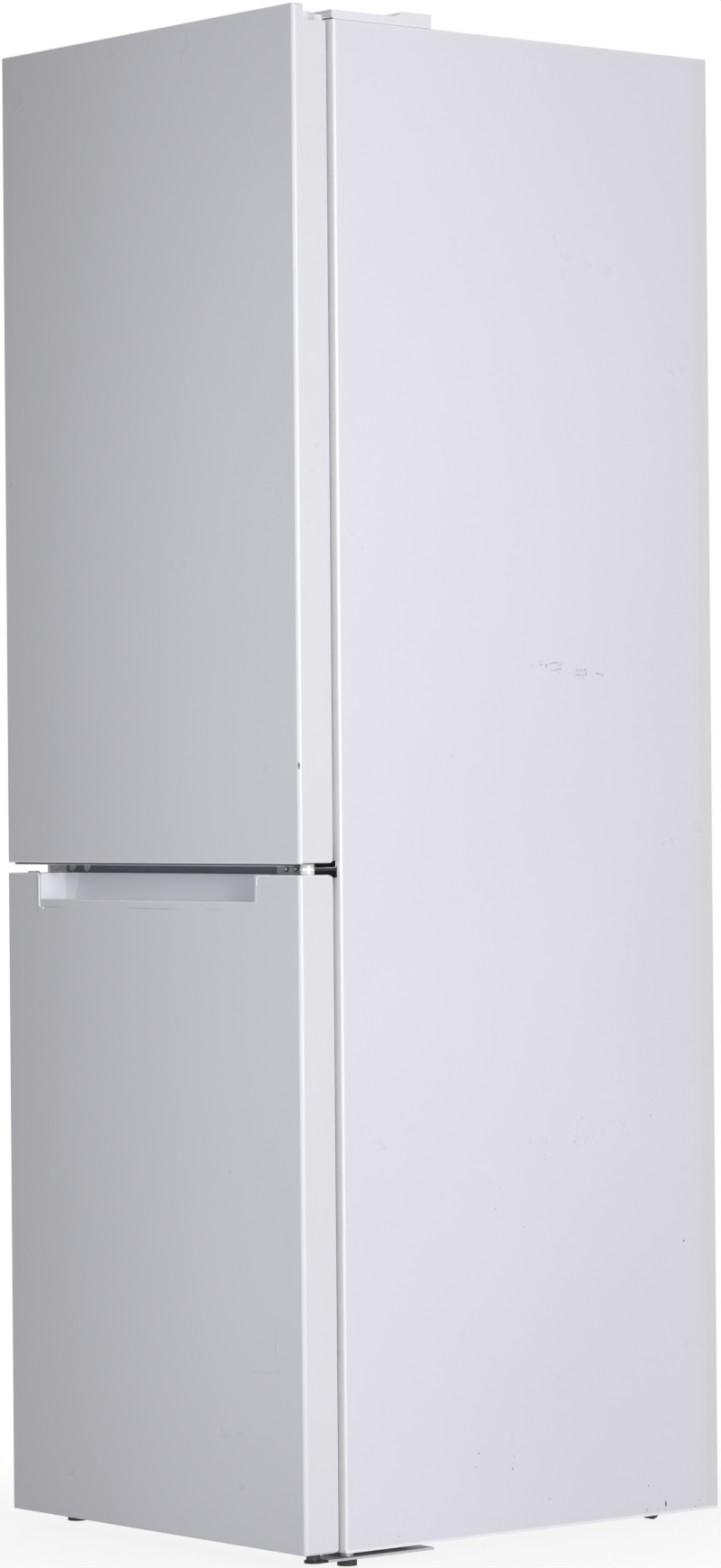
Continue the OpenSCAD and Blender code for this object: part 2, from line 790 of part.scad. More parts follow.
module refrigerant_pipes() {
  stub_x = comp_x - comp_r - 10;
  drier_x = stub_x - 150;
  drier_y = comp_y + 20;
  color("peru") {
    pipe_run([[stub_x, comp_y, comp_z0 + 100], [stub_x - 55, comp_y, comp_z0 + 100],
              [stub_x - 55, comp_y, bay_z]], 4);
    pipe_run([[stub_x, comp_y, comp_z0 + 60], [stub_x - 90, comp_y, comp_z0 + 60],
              [stub_x - 90, comp_y, bay_z]], 3);
    rod_z(drier_x, drier_y, 9.5, comp_z0 + 70, comp_z0 + 160);
    pipe_run([[drier_x, drier_y, comp_z0 + 160], [drier_x, drier_y, bay_z]], 3);
    pipe_run([[drier_x, drier_y, comp_z0 + 71], [drier_x, drier_y, comp_z0 + 45],
              [drier_x, drier_y - 60, comp_z0 + 45], [drier_x, drier_y - 60, bay_z]], 2);
  }
}

// Grommet where the mains lead enters, empty here
module cord_gland() {
  color("black") difference() {
    rod_z(gland_x, gland_y, gland_r, bay_z - gland_h, bay_z);
    rod_z(gland_x, gland_y, gland_bore_r, bay_z - gland_h - join, bay_z - 3);
  }
}

// Plan of the hinge arm from the hinge line back to the cabinet, set in all round
module arm_plan(inset) {
  r = arm_r - inset;
  translate([axis_x, axis_y]) {
    circle(r);
    polygon([[0.9 * r, 0.43 * r], [-1 - inset, 22], [-1 - inset, cab_y - axis_y + join],
             [-27 + inset, cab_y - axis_y + join], [-27 + inset, 18], [-0.85 * r, 0.5 * r], [0, -0.5 * r]]);
  }
}

// Plan of the cover over the arm, with a flat side beside the hinge line
module nose_plan() {
  arm_plan(0);
  side = arm_r - 0.5;
  translate([axis_x, axis_y]) polygon([[0, -0.84 * arm_r], [0.55 * arm_r, -0.84 * arm_r], [side, -0.38 * arm_r],
    [side, 0.38 * arm_r], [1.5, 19.5], [-2, 19.5]]);
}

module top_hinge_bracket() {
  color("silver") difference() {
    union() {
      translate([0, 0, cab_z1]) linear_extrude(plate_t) arm_plan(cover_wall + 0.4);
      block(hinge_plate_x0, axis_x - 4, cab_y, cab_y + 75, cab_z1, cab_z1 + plate_t);
      rod_z(axis_x, axis_y, pin_r, ledge_z - pin_len, cab_z1 + plate_t);
    }
    for (s = top_screws) rod_z(s[0], cab_y + s[1], screw_r, cab_z1 - join, cab_z1 + plate_t + join);
  }
}

// Plastic cover over the top hinge, hollow from below
module top_hinge_cover() {
  front = cab_y - 2.5;
  rear = cab_y + 152.5;
  left = axis_x - 87.5;
  right = hw - 1;
  ramp = [rear - 57, rear - 44];
  color("white") difference() {
    union() {
      translate([0, 0, cab_z1 - clear + 0.2]) linear_extrude(nose_h) nose_plan();
      translate([0, 0, ledge_z + skirt_gap]) linear_extrude(ledge_drop - skirt_gap + join) intersection() {
        nose_plan();
        translate([axis_x - 40, axis_y - 20]) square([60, cab_y - clear - axis_y + 20]);
      }
      span_x(left, right) polygon([[cab_y, cab_z1], [cab_y, cab_z1 + cover_h], [ramp[0], cab_z1 + cover_h],
        [ramp[1], cab_z1 + block_h], [rear, cab_z1 + block_h], [rear, cab_z1]]);
      span_x(left, right) polygon([[front, cab_z1 + 1], [front, cab_z1 + cover_h], [cab_y + join, cab_z1 + cover_h],
        [cab_y + join, cab_z1 + 1]]);
    }
    translate([0, 0, ledge_z - join]) linear_extrude(ledge_drop + join + nose_h - cover_wall) arm_plan(cover_wall);
    span_x(left + 2, right - 2) polygon([[front + 2, cab_z1 - join], [front + 2, cab_z1 + cover_h - 2],
      [ramp[0], cab_z1 + cover_h - 2], [ramp[1], cab_z1 + block_h - 2], [rear - 2, cab_z1 + block_h - 2],
      [rear - 2, cab_z1 - join]]);
  }
}

// Plate in the gap between the doors, with one pin up and one down
module middle_hinge_bracket() {
  color("dimgray") difference() {
    union() {
      rod_z(axis_x, axis_y, 9, middle_z0, middle_z1);
      translate([0, 0, middle_z0]) linear_extrude(middle_t)
        polygon([[axis_x + 9, axis_y], [hw - 6, cab_y], [hinge_plate_x0, cab_y], [axis_x - 8, axis_y - 3]]);
      block(axis_x - 99.5, hw - 6, cab_y - 2.5, cab_y, split_z - 10, split_z + 10);
      rod_z(axis_x, axis_y, pin_r, lower_z1 - pin_len, upper_z0 + pin_len);
    }
    for (x = middle_screws) rod_y(x, split_z, screw_r, cab_y - 4, cab_y + join);
    for (x = middle_screws) rod_y(x, split_z, screw_head_r, cab_y - 30, cab_y - 2.5);
  }
}

// Plate under the cabinet with the lower pin and the nut of the right front foot
module bottom_hinge_bracket() {
  z0 = bottom_plate_z;
  z1 = bottom_plate_z + plate_t;
  left = axis_x - 32.5;
  color("silver") difference() {
    union() {
      rod_z(axis_x, axis_y, 11, z0, z1);
      translate([0, 0, z0]) linear_extrude(plate_t)
        polygon([[axis_x + 10.5, axis_y], [hw - 8, cab_y + 10], [hw - 8, cab_y + 142.5], [left, cab_y + 142.5],
                 [left, cab_y + 10], [axis_x - 10.5, axis_y]]);
      block(left, left + plate_t, cab_y + 6, cab_y + 136, z0, cab_z0);
      block(left - 24, left + plate_t, cab_y + 6, cab_y + 136, cab_z0 - plate_t, cab_z0);
      rod_z(foot_x, foot_y, stud_r + 4, z1 - join, z1 + 4);
      rod_z(axis_x, axis_y, pin_r, z0, lower_z0 + pin_len);
    }
    rod_z(foot_x, foot_y, stud_r + running, 0, cab_z0);
    for (y = bottom_screws) rod_z(bottom_screw_x, cab_y + y, screw_r, cab_z0 - plate_t - join, cab_z0 + join);
  }
}

module hinge_screws() {
  color("silver") {
    for (s = top_screws) {
      rod_z(s[0], cab_y + s[1], screw_r, cab_z1 - sheet_t, cab_z1 + plate_t);
      rod_z(s[0], cab_y + s[1], screw_head_r, cab_z1 + plate_t, cab_z1 + plate_t + screw_head_h);
    }
    for (x = middle_screws) {
      rod_y(x, split_z, screw_r, cab_y - 2.5, cab_y + sheet_t);
      rod_y(x, split_z, screw_head_r, cab_y - 2.5 - screw_head_h, cab_y - 2.5);
    }
    for (y = bottom_screws) {
      rod_z(bottom_screw_x, cab_y + y, screw_r, cab_z0 - plate_t, cab_z0 + sheet_t);
      rod_z(bottom_screw_x, cab_y + y, screw_head_r, cab_z0 - plate_t - screw_head_h, cab_z0 - plate_t);
    }
  }
}

// Plugs in the holes that a left-hand hinge would use
module hinge_hole_plugs() {
  color("gray") {
    for (x = plug_xs) rod_y(x, split_z, plug_r, cab_y - 3, cab_y);
    for (s = top_screws) rod_z(-s[0], cab_y + s[1], plug_r, cab_z1, cab_z1 + 2);
  }
}

// Form of a door over its steel: round upright front edges, small round ends, rounder back ends
module door_form(z0, z1) {
  intersection() {
    translate([0, 0, z0]) linear_extrude(z1 - z0)
      rounded_rect(-hw, hw, front_y, door_y + 20, door_r);
    span_y(front_y - join, door_y + join) rounded_rect(-hw, hw, z0, z1, corner_r);
    span_x(-hw - join, hw + join) intersection() {
      rounded_rect(front_y, door_y + 30, z0, z1, edge_r);
      rounded_rect(front_y - 30, door_y, z0, z1, rear_r);
    }
  }
}

module door_inside(z0, z1) {
  intersection() {
    translate([0, 0, z0]) linear_extrude(z1 - z0)
      rounded_rect(-inner_x, inner_x, front_y + sheet_t, door_y + 20, door_r - sheet_t);
    span_y(front_y, door_y + join)
      rounded_rect(-inner_x, inner_x, z0 + sheet_t, z1 - sheet_t, corner_r - sheet_t);
    span_x(-hw - join, hw + join)
      rounded_rect(front_y + sheet_t, door_y + 30, z0 + sheet_t, z1 - sheet_t, edge_r - sheet_t);
  }
}

// The door's steel sheet, folded over its front ends and open behind the folds
module door_skin(z0, z1) {
  difference() {
    door_form(z0, z1);
    door_inside(z0, z1);
    block(-inner_x, inner_x, front_y + fold_lip, door_y + join, z0 - join, z1 + join);
  }
}

// What lies inside the steel: end caps, foam and liner together
module door_core(z0, z1) {
  intersection() {
    door_form(z0, z1);
    union() {
      door_inside(z0, z1);
      block(-inner_x, inner_x, front_y + fold_lip, door_y + join, z0 - join, z1 + join);
    }
  }
}

module slice(z0, z1) {
  block(-hw - join, hw + join, front_y - join, door_y + join, z0, z1);
}

// Blocks under both ends of a cap that hold the hinge bushing on one side or the other
module cap_bosses(z0, z1) {
  pair(axis_x - boss_w / 2, inner_x, axis_y - boss_w / 2 + 2, axis_y + boss_w / 2 - 2, z0, z1);
}

module bush_bore(z0, z1) {
  rod_z(axis_x, axis_y, bush_r + running, z0, z1);
}

// Behind the lip, the fridge door's top is lower, so that the hinge arm can reach its pin
module ledge_cut() {
  block(-hw - join, hw + join, front_y + lip_d, door_y + join, ledge_z, upper_z1 + join);
}

module door_plate(z0, z1) {
  intersection() {
    door_core(z0, z1);
    block(-inner_x, inner_x, door_y - liner_t, door_y, z0 + cap_t, z1 - cap_t);
  }
}

module fridge_door_panel() {
  color("silver") difference() {
    door_skin(upper_z0, upper_z1);
    ledge_cut();
  }
}

module fridge_door_top_cap() {
  color("white") difference() {
    union() {
      intersection() {
        door_core(upper_z0, upper_z1);
        slice(ledge_z - cap_t, upper_z1);
      }
      cap_bosses(ledge_z - cap_t - boss_h, ledge_z - cap_t);
    }
    ledge_cut();
    bush_bore(ledge_z - bush_len, ledge_z + join);
  }
}

module fridge_door_bottom_cap() {
  color("white") difference() {
    union() {
      intersection() {
        door_core(upper_z0, upper_z1);
        slice(upper_z0, upper_z0 + cap_t);
      }
      cap_bosses(upper_z0 + cap_t, upper_z0 + cap_t + boss_h);
      block(cap_lip_x[0], cap_lip_x[1], front_y + fold_lip, door_y - rear_r, upper_z0 - cap_lip_h, upper_z0 + join);
      block(cap_lip_x[0], cap_lip_x[1], front_y + cap_lip_back, front_y + fold_lip + join,
            upper_z0 - cap_lip_h, upper_z0 - clear / 3);
    }
    bush_bore(upper_z0 - join, upper_z0 + bush_len);
  }
}

// Upright ridges on the fridge door's liner, set in by a distance, that hold the door bins
module fridge_ridges(inset, y0) {
  pair(ridge_x1 - ridge_w + inset, ridge_x1 - inset, y0, door_y + ridge_h - inset,
       fridge_z0 + 21 + inset, fridge_z1 - 17 - inset);
}

module fridge_door_liner() {
  color("white") difference() {
    union() {
      intersection() {
        door_core(upper_z0, upper_z1);
        block(-inner_x, inner_x, door_y - liner_t, door_y, upper_z0 + cap_t, ledge_z - cap_t);
      }
      fridge_ridges(0, door_y - liner_t);
    }
    fridge_ridges(liner_t, door_y - liner_t - join);
  }
}

module fridge_door_foam() {
  color("khaki") {
    difference() {
      intersection() {
        door_core(upper_z0, upper_z1);
        slice(upper_z0 + cap_t, ledge_z - cap_t);
      }
      block(-hw, hw, door_y - liner_t, door_y + join, upper_z0, upper_z1);
      cap_bosses(upper_z0, upper_z0 + cap_t + boss_h);
      cap_bosses(ledge_z - cap_t - boss_h, ledge_z);
    }
    fridge_ridges(liner_t, door_y - liner_t - join);
  }
}

module ring(x, z0, z1, width, y0, y1) {
  difference() {
    block(-x, x, y0, y1, z0, z1);
    block(-x + width, x - width, y0 - join, y1 + join, z0 + width, z1 - width);
  }
}

// A seal: a narrow foot on the liner and a wide magnetic head that meets the cabinet
module gasket(z0, z1) {
  x = hw - gasket_side;
  foot = 5;
  color("gainsboro") {
    ring(x - 4, z0 + gasket_end + 4, z1 - gasket_end - 4, gasket_w - 8, door_y, door_y + foot + join);
    ring(x, z0 + gasket_end, z1 - gasket_end, gasket_w, door_y + foot, cab_y - clear);
  }
}

module fridge_door_gasket() {
  gasket(upper_z0, ledge_z);
}

module freezer_door_gasket() {
  gasket(lower_z0, lower_z1);
}

// A bushing's sleeve lies in the cap, and its rim fills the gap to the hinge plate
module bushing(sleeve_z0, sleeve_z1, rim_z0, rim_z1) {
  difference() {
    union() {
      rod_z(axis_x, axis_y, bush_r, sleeve_z0, sleeve_z1);
      rod_z(axis_x, axis_y, bush_rim_r, rim_z0, rim_z1);
    }
    rod_z(axis_x, axis_y, pin_r + running, min(sleeve_z0, rim_z0) - join, max(sleeve_z1, rim_z1) + join);
  }
}

module fridge_door_bushings() {
  color("white") {
    bushing(ledge_z - bush_len, ledge_z, ledge_z, cab_z1 - clear);
    bushing(upper_z0, upper_z0 + bush_len, middle_z1 + clear, upper_z0);
  }
}

module freezer_door_bushings() {
  color("white") {
    bushing(lower_z1 - bush_len, lower_z1, lower_z1, middle_z0 - clear);
    bushing(lower_z0, lower_z0 + bush_len, bottom_plate_z + plate_t + clear, lower_z0);
  }
}

// An open bin between the ridges of the fridge door
module door_bin(z0, height, depth) {
  x = ridge_x1 - ridge_w - clear;
  y0 = door_y + clear;
  difference() {
    block(-x, x, y0, y0 + depth, z0, z0 + height);
    block(-x + tray_wall, x - tray_wall, y0 + tray_wall, y0 + depth - tray_wall, z0 + tray_wall, z0 + height + join);
    block(-x + 30, x - 30, y0 - join, y0 + tray_wall + join, z0 + height * 0.45, z0 + height + join);
  }
}

module door_bins() {
  color("aliceblue") for (z = bin_zs) door_bin(z, bin_h, bin_d);
}

module bottle_bin() {
  color("aliceblue") door_bin(bottle_bin_z, bottle_bin_h, bin_d + 6);
}

// Outline of the recess in the freezer door's front
module recess_outline() {
  x0 = -hw + recess_left;
  rounded_rect(x0, x0 + recess_w, lower_z1 - recess_h - strip_h, lower_z1 + 30, 8);
}

// The steel's rounded corners beside the top of the recess
module recess_flares() {
  x0 = -hw + recess_left;
  flare(x0, -4);
  flare(x0 + recess_w, 9);
}

module flare(x, r) {
  s = abs(r);
  difference() {
    translate([r > 0 ? x - join : x - s, lower_z1 - s]) square([s + join, s + join]);
    translate([x + r, lower_z1 - s]) circle(s);
    translate([x + r - s, lower_z1 - 2 * s]) square([2 * s, s]);
  }
}

module recess_corners() {
  span_y(front_y - join, front_y + fold_lip) recess_flares();
}

module recess_pocket() {
  span_y(front_y - join, front_y + recess_d) recess_outline();
}

module freezer_door_panel() {
  color("silver") difference() {
    door_skin(lower_z0, lower_z1);
    recess_pocket();
    recess_corners();
  }
}

module freezer_door_top_cap() {
  color("white") {
    difference() {
      union() {
        intersection() {
          door_core(lower_z0, lower_z1);
          slice(lower_z1 - cap_t, lower_z1);
        }
        cap_bosses(lower_z1 - cap_t - boss_h, lower_z1 - cap_t);
      }
      recess_pocket();
      recess_corners();
      bush_bore(lower_z1 - bush_len, lower_z1 + join);
    }
    rod_z(-axis_x, axis_y, 7, lower_z1 - join, lower_z1 + 2);
  }
}

module freezer_door_bottom_cap() {
  color("white") difference() {
    union() {
      intersection() {
        door_core(lower_z0, lower_z1);
        slice(lower_z0, lower_z0 + cap_t);
      }
      cap_bosses(lower_z0 + cap_t, lower_z0 + cap_t + boss_h);
    }
    bush_bore(lower_z0 - join, lower_z0 + bush_len);
  }
}

// Low ridge round the freezer door's liner
module freezer_ridge(inset, y0) {
  difference() {
    block(-freezer_ridge_x + inset, freezer_ridge_x - inset, y0, door_y + freezer_ridge_h - inset,
          freezer_z0 + 12 + inset, freezer_z1 - 12 - inset);
    block(-freezer_ridge_x + freezer_ridge_w - inset, freezer_ridge_x - freezer_ridge_w + inset,
          y0 - join, door_y + freezer_ridge_h + join,
          freezer_z0 + 12 + freezer_ridge_w - inset, freezer_z1 - 12 - freezer_ridge_w + inset);
  }
}

module freezer_door_liner() {
  color("white") difference() {
    union() {
      door_plate(lower_z0, lower_z1);
      freezer_ridge(0, door_y - liner_t);
    }
    freezer_ridge(liner_t, door_y - liner_t - join);
  }
}

module freezer_door_foam() {
  color("khaki") {
    difference() {
      intersection() {
        door_core(lower_z0, lower_z1);
        slice(lower_z0 + cap_t, lower_z1 - cap_t);
      }
      block(-hw, hw, door_y - liner_t, door_y + join, lower_z0, lower_z1);
      cap_bosses(lower_z0, lower_z0 + cap_t + boss_h);
      cap_bosses(lower_z1 - cap_t - boss_h, lower_z1);
      recess_pocket();
      recess_corners();
    }
    freezer_ridge(liner_t, door_y - liner_t - join);
  }
}

// Moulded pocket that the fingers reach into, with the flush strip under it
module handle_insert() {
  x0 = -hw + recess_left + recess_wall;
  x1 = -hw + recess_left + recess_w - recess_wall;
  sill_z = lower_z1 - recess_h;
  back = front_y + recess_d - recess_wall;
  color("white") difference() {
    intersection() {
      span_y(front_y, front_y + recess_d) recess_outline();
      slice(lower_z0, lower_z1);
    }
    intersection() {
      span_x(x0, x1) polygon([[front_y - join, sill_z], [back - recess_lean, sill_z], [back, lower_z1 + join],
                              [front_y - join, lower_z1 + join]]);
      translate([0, 0, lower_z0]) linear_extrude(freezer_door_h + 2)
        polygon([[x0, front_y - 2], [x0, back - 12], [x0 + 5, back - 6.5], [x0 + facet_w, back + 1],
                 [x1 - facet_w, back + 1], [x1 - 5, back - 6.5], [x1, back - 12], [x1, front_y - 2]]);
    }
  }
}

left_side_panel();
right_side_panel();
top_panel();
back_panel();
base_pan();
compressor_base();
insulation_foam();
fridge_liner();
freezer_liner();
middle_rail();
compressor();
compressor_grommets();
start_relay_box();
drip_tray();
refrigerant_pipes();
cord_gland();
top_hinge_bracket();
top_hinge_cover();
middle_hinge_bracket();
bottom_hinge_bracket();
hinge_screws();
hinge_hole_plugs();
control_box();
led_lamp_lens();
air_duct_panel();
fridge_shelves();
freezer_shelves();
shelf_trims();
evaporator();
freezer_back_cover();
fan_motor();
roller_axles();
temperature_dial();
evaporator_fan();
front_foot_left();
front_foot_right();
rear_roller_left();
rear_roller_right();
crisper_drawer();
freezer_drawer_top();
freezer_drawer_middle();
freezer_drawer_bottom();
fridge_door_panel();
fridge_door_top_cap();
fridge_door_bottom_cap();
fridge_door_foam();
fridge_door_liner();
fridge_door_gasket();
fridge_door_bushings();
door_bins();
bottle_bin();
freezer_door_panel();
freezer_door_top_cap();
freezer_door_bottom_cap();
freezer_door_foam();
freezer_door_liner();
freezer_door_gasket();
freezer_door_bushings();
handle_insert();
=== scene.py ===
"""Looks of the white fridge freezer, dressed on its CAD frame."""
import json
import math

import bmesh
import bpy
from mathutils import Matrix, Vector


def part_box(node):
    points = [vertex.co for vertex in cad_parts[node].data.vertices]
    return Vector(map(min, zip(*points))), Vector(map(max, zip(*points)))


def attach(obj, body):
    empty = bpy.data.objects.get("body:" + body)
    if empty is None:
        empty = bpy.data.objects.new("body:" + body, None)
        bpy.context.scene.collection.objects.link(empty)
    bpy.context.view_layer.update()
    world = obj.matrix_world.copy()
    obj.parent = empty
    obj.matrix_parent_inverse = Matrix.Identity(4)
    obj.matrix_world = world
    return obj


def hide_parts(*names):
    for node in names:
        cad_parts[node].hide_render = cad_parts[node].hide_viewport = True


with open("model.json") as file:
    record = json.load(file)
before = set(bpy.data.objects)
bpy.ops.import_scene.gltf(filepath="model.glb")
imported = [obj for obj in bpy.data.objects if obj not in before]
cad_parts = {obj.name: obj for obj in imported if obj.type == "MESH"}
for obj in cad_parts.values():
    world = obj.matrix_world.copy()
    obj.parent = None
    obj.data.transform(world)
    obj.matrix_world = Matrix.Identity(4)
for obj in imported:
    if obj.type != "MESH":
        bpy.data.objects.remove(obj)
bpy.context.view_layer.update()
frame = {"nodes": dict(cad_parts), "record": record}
nodes = frame["nodes"]
record = frame["record"]
MM = 0.001

# Camera of the photograph: focal length and height in pixels, angles in degrees, place in metres
FOCAL_PX = 5906.29
PICTURE_H = 1741
YAW = 50.69
PITCH = 0.16
ROLL = 0.49
CAMERA_AT = (5.21709, -4.26852, 0.91702)
SENSOR_MM = 36.0

# Light: the world's strength, the lamps' powers in watts, the front lamp's spread in degrees and the level in
# the compartments
AMBIENT = 0.09
KEY_POWER = 98.0
FRONT_POWER = 1.8
BACK_POWER = 80.0
FRONT_SPREAD = 84.0
TOP_POWER = 22.0
INSIDE_LEVEL = 0.75

# Outer faces of the right side and of the door fronts
SIDE_X = 0.2975
FRONT_Y = -0.334

# Where a finish or a painted shade starts to change and where the change is complete, in metres
MIDDLE_FLANGE_Y = (-0.2745, -0.2742)
MIDDLE_ZINC_X = (0.252, 0.246)
MIDDLE_NOSE_Y = (-0.3035, -0.3042)
BOTTOM_NOSE_Y = (-0.292, -0.293)
LIP_SEAM_Z = (0.8380, 0.8384)
WHITE_BUSHING_Z = (0.1, 0.11)
SIDE_REAR_Y = (0.296, 0.318)

# Colours of the enamels, the white plastic, the marks of use, the painted highlight of folded edges, the
# painted shade of seams and corners, and the side's darker rear strip
WHITE_ENAMEL = (0.80, 0.793, 0.866)
DOOR_ENAMEL = (0.79, 0.79, 0.83)
EDGE_HIGHLIGHT_PAINT = (0.96, 0.96, 0.98)
REAR_STRIP_TONE = (0.775, 0.775, 0.80)
WHITE_PLASTIC = (0.86, 0.86, 0.91)
GREY_MARK = (0.36, 0.36, 0.40)
DARK_MARK = (0.05, 0.05, 0.06)
PAINTED_SHADE_BLACK = (0.03, 0.03, 0.034)
CORNER_PAINTED_SHADOW = (0.06, 0.06, 0.07)


def put(tree, socket, value):
    """Links a socket to another one, or gives it a value."""
    if hasattr(value, "links"):
        tree.links.new(value, socket)
    elif isinstance(value, (tuple, list)) and len(value) == 3 and socket.type == "RGBA":
        socket.default_value = (*value, 1.0)
    else:
        socket.default_value = value


def add_node(tree, kind, inputs, **settings):
    n = tree.nodes.new(kind)
    for k, v in settings.items():
        setattr(n, k, v)
    for k, v in inputs.items():
        put(tree, n.inputs[k], v)
    return n


class Shade:
    """A material with a Principled shader, and short calls for its nodes."""

    def __init__(self, name):
        self.mat = bpy.data.materials.new(name)
        self.mat.use_nodes = True
        self.tree = self.mat.node_tree
        self.bsdf = next(n for n in self.tree.nodes if n.type == "BSDF_PRINCIPLED")
        self.place = self.tree.nodes.new("ShaderNodeTexCoord").outputs["Object"]

    def node(self, kind, inputs, **settings):
        return add_node(self.tree, kind, inputs, **settings)

    def set(self, **values):
        for k, v in values.items():
            put(self.tree, self.bsdf.inputs[k.replace("_", " ")], v)

    def noise(self, scale, detail=3.0, rough=0.55, place=None):
        values = {"Vector": place or self.place, "Scale": scale, "Detail": detail, "Roughness": rough}
        return self.node("ShaderNodeTexNoise", values).outputs["Fac"]

    def cells(self, scale, place=None, out="Distance"):
        return self.node("ShaderNodeTexVoronoi", {"Vector": place or self.place, "Scale": scale}).outputs[out]

    def span(self, value, low, high, a=0.0, b=1.0):
        return self.node("ShaderNodeMapRange", {"Value": value, "From Min": low, "From Max": high,
                                                "To Min": a, "To Max": b}).outputs["Result"]

    def math(self, op, a, b=0.0):
        return self.node("ShaderNodeMath", {0: a, 1: b}, operation=op).outputs[0]

    def vector(self, op, values):
        return self.node("ShaderNodeVectorMath", values, operation=op).outputs["Vector"]

    def mix(self, fac, a, b):
        return self.node("ShaderNodeMix", {0: fac, 6: a, 7: b}, data_type="RGBA").outputs[2]

    def stretch(self, factors):
        return self.node("ShaderNodeMapping", {"Vector": self.place, "Scale": factors}).outputs["Vector"]

    def axis(self, name):
        return self.node("ShaderNodeSeparateXYZ", {"Vector": self.place}).outputs[name]

    def bump(self, height, distance, strength=1.0, under=None):
        values = {"Height": height, "Distance": distance, "Strength": strength}
        if under is not None:
            values["Normal"] = under
        return self.node("ShaderNodeBump", values).outputs["Normal"]

    def spot(self, at, half, turn=(0.0, 0.0, 0.0), soft=0.45, place=None):
        """1 inside an ellipsoid at a place in metres, 0 outside, with a soft rim."""
        m = self.node("ShaderNodeMapping", {"Vector": place or self.place, "Location": at, "Rotation": turn,
                                            "Scale": half}, vector_type="TEXTURE")
        far = self.node("ShaderNodeVectorMath", {0: m.outputs["Vector"]}, operation="LENGTH").outputs["Value"]
        return self.span(far, 1.0 - soft, 1.0, 1.0, 0.0)


def mixed(colour, factor):
    return tuple(c * factor for c in colour)


def painted(name, colour, marks=(), rough=0.3, edges=(), bands=()):
    """Baked enamel on steel sheet: orange peel, faint unevenness, dust and marks of use, with a painted
    highlight at the folded edges, coloured lighter for the light they catch. An edge is given by its axis, its
    place and width in metres, and 1 or -1 where it ends the sheet at its high or its low side. A band of
    another shade is given by its axis, the places where it starts to show and where it is full, and its
    colour."""
    s = Shade(name)
    broad = s.noise(1.7, 2.0, 0.4)
    tone = s.mix(s.span(broad, 0.35, 0.65), mixed(colour, 0.982), mixed(colour, 1.018))
    dust = s.noise(900.0, 3.0, 0.7)
    tone = s.mix(s.span(dust, 0.72, 0.84, 0.0, 0.06), tone, mixed(colour, 0.88))
    breakup = s.noise(420.0, 5.0, 0.7)
    wander = s.node("ShaderNodeTexNoise", {"Vector": s.place, "Scale": 28.0, "Detail": 2.0}).outputs["Color"]
    shift = s.vector("SUBTRACT", {0: wander, 1: (0.5, 0.5, 0.5)})
    bent = s.vector("ADD", {0: s.place, 1: s.vector("SCALE", {0: shift, "Scale": 0.006})})
    worn = None
    for at, half, turn, strength, shade, broken in marks:
        m = s.spot(at, half, turn, 0.6, bent if broken else s.place)
        if broken:
            m = s.math("MULTIPLY", m, s.span(breakup, 0.62 - 0.3 * broken, 0.66, 0.0, 1.0))
        m = s.math("MULTIPLY", m, strength)
        tone = s.mix(m, tone, shade)
        worn = m if worn is None else s.math("MAXIMUM", worn, m)
    for axis, start, end, shade in bands:
        tone = s.mix(s.span(s.axis(axis), start, end), tone, shade)
    # Painted highlight: each folded edge is coloured lighter for the light that its rounding catches
    for axis, place, width, side in edges:
        lit = s.span(s.axis(axis), place - side * width, place - side * width / 2)
        tone = s.mix(lit, tone, EDGE_HIGHLIGHT_PAINT)
    peel = s.noise(650.0, 2.0, 0.5)
    wave = s.noise(5.0, 1.0, 0.4)
    normal = s.bump(wave, 0.002, 0.12)
    normal = s.bump(peel, 0.00006, 0.35, normal)
    gloss = s.span(s.noise(9.0, 4.0, 0.6), 0.3, 0.7, rough - 0.03, rough + 0.05)
    if worn is not None:
        gloss = s.math("ADD", gloss, s.math("MULTIPLY", worn, 0.3))
    s.set(Base_Color=tone, Roughness=gloss, Normal=normal, IOR=1.5)
    return s.mat


def moulded(name, colour, rough=0.42, grain=900.0, depth=0.00005, blotch=0.97):
    """Injection moulded plastic with a fine spark-eroded grain."""
    s = Shade(name)
    tone = s.mix(s.span(s.noise(14.0, 3.0), 0.3, 0.7), mixed(colour, blotch), colour)
    tone = s.mix(s.span(s.noise(330.0, 4.0, 0.7), 0.74, 0.86, 0.0, 0.3), tone, mixed(colour, 0.75))
    normal = s.bump(s.noise(grain, 3.0, 0.6), depth, 0.6)
    normal = s.bump(s.noise(22.0, 1.0), 0.0009, 0.1, normal)
    gloss = s.span(s.noise(40.0, 3.0), 0.3, 0.7, rough - 0.05, rough + 0.06)
    s.set(Base_Color=tone, Roughness=gloss, Normal=normal)
    return s.mat


def metal(name, colour, rough=0.36, brushed=(1.0, 1.0, 1.0), spangle=0.0, tarnish=None):
    """Bare or plated metal, rolled, with zinc spangle or tarnish where it has them."""
    s = Shade(name)
    tone = s.mix(s.span(s.noise(18.0, 5.0, 0.65), 0.3, 0.7), mixed(colour, 0.9), mixed(colour, 1.06))
    if spangle:
        flake = s.cells(spangle, s.stretch((1.0, 1.0, 0.8)), out="Color")
        grey = s.node("ShaderNodeSeparateColor", {"Color": flake}).outputs["Red"]
        tone = s.mix(s.span(grey, 0.0, 1.0, 0.0, 0.55), tone, mixed(colour, 0.74))
    if tarnish:
        tone = s.mix(s.span(s.noise(46.0, 6.0, 0.7), 0.5, 0.68, 0.0, 0.85), tone, tarnish)
    lines = s.noise(240.0, 3.0, 0.6, s.stretch(brushed))
    gloss = s.span(lines, 0.3, 0.7, rough - 0.07, rough + 0.1)
    normal = s.bump(lines, 0.00005, 0.5)
    s.set(Base_Color=tone, Metallic=0.92, Roughness=gloss, Normal=normal)
    return s.mat


def white_tone(s):
    return s.mix(s.span(s.noise(14.0, 3.0), 0.3, 0.7), mixed(WHITE_PLASTIC, 0.985), WHITE_PLASTIC)


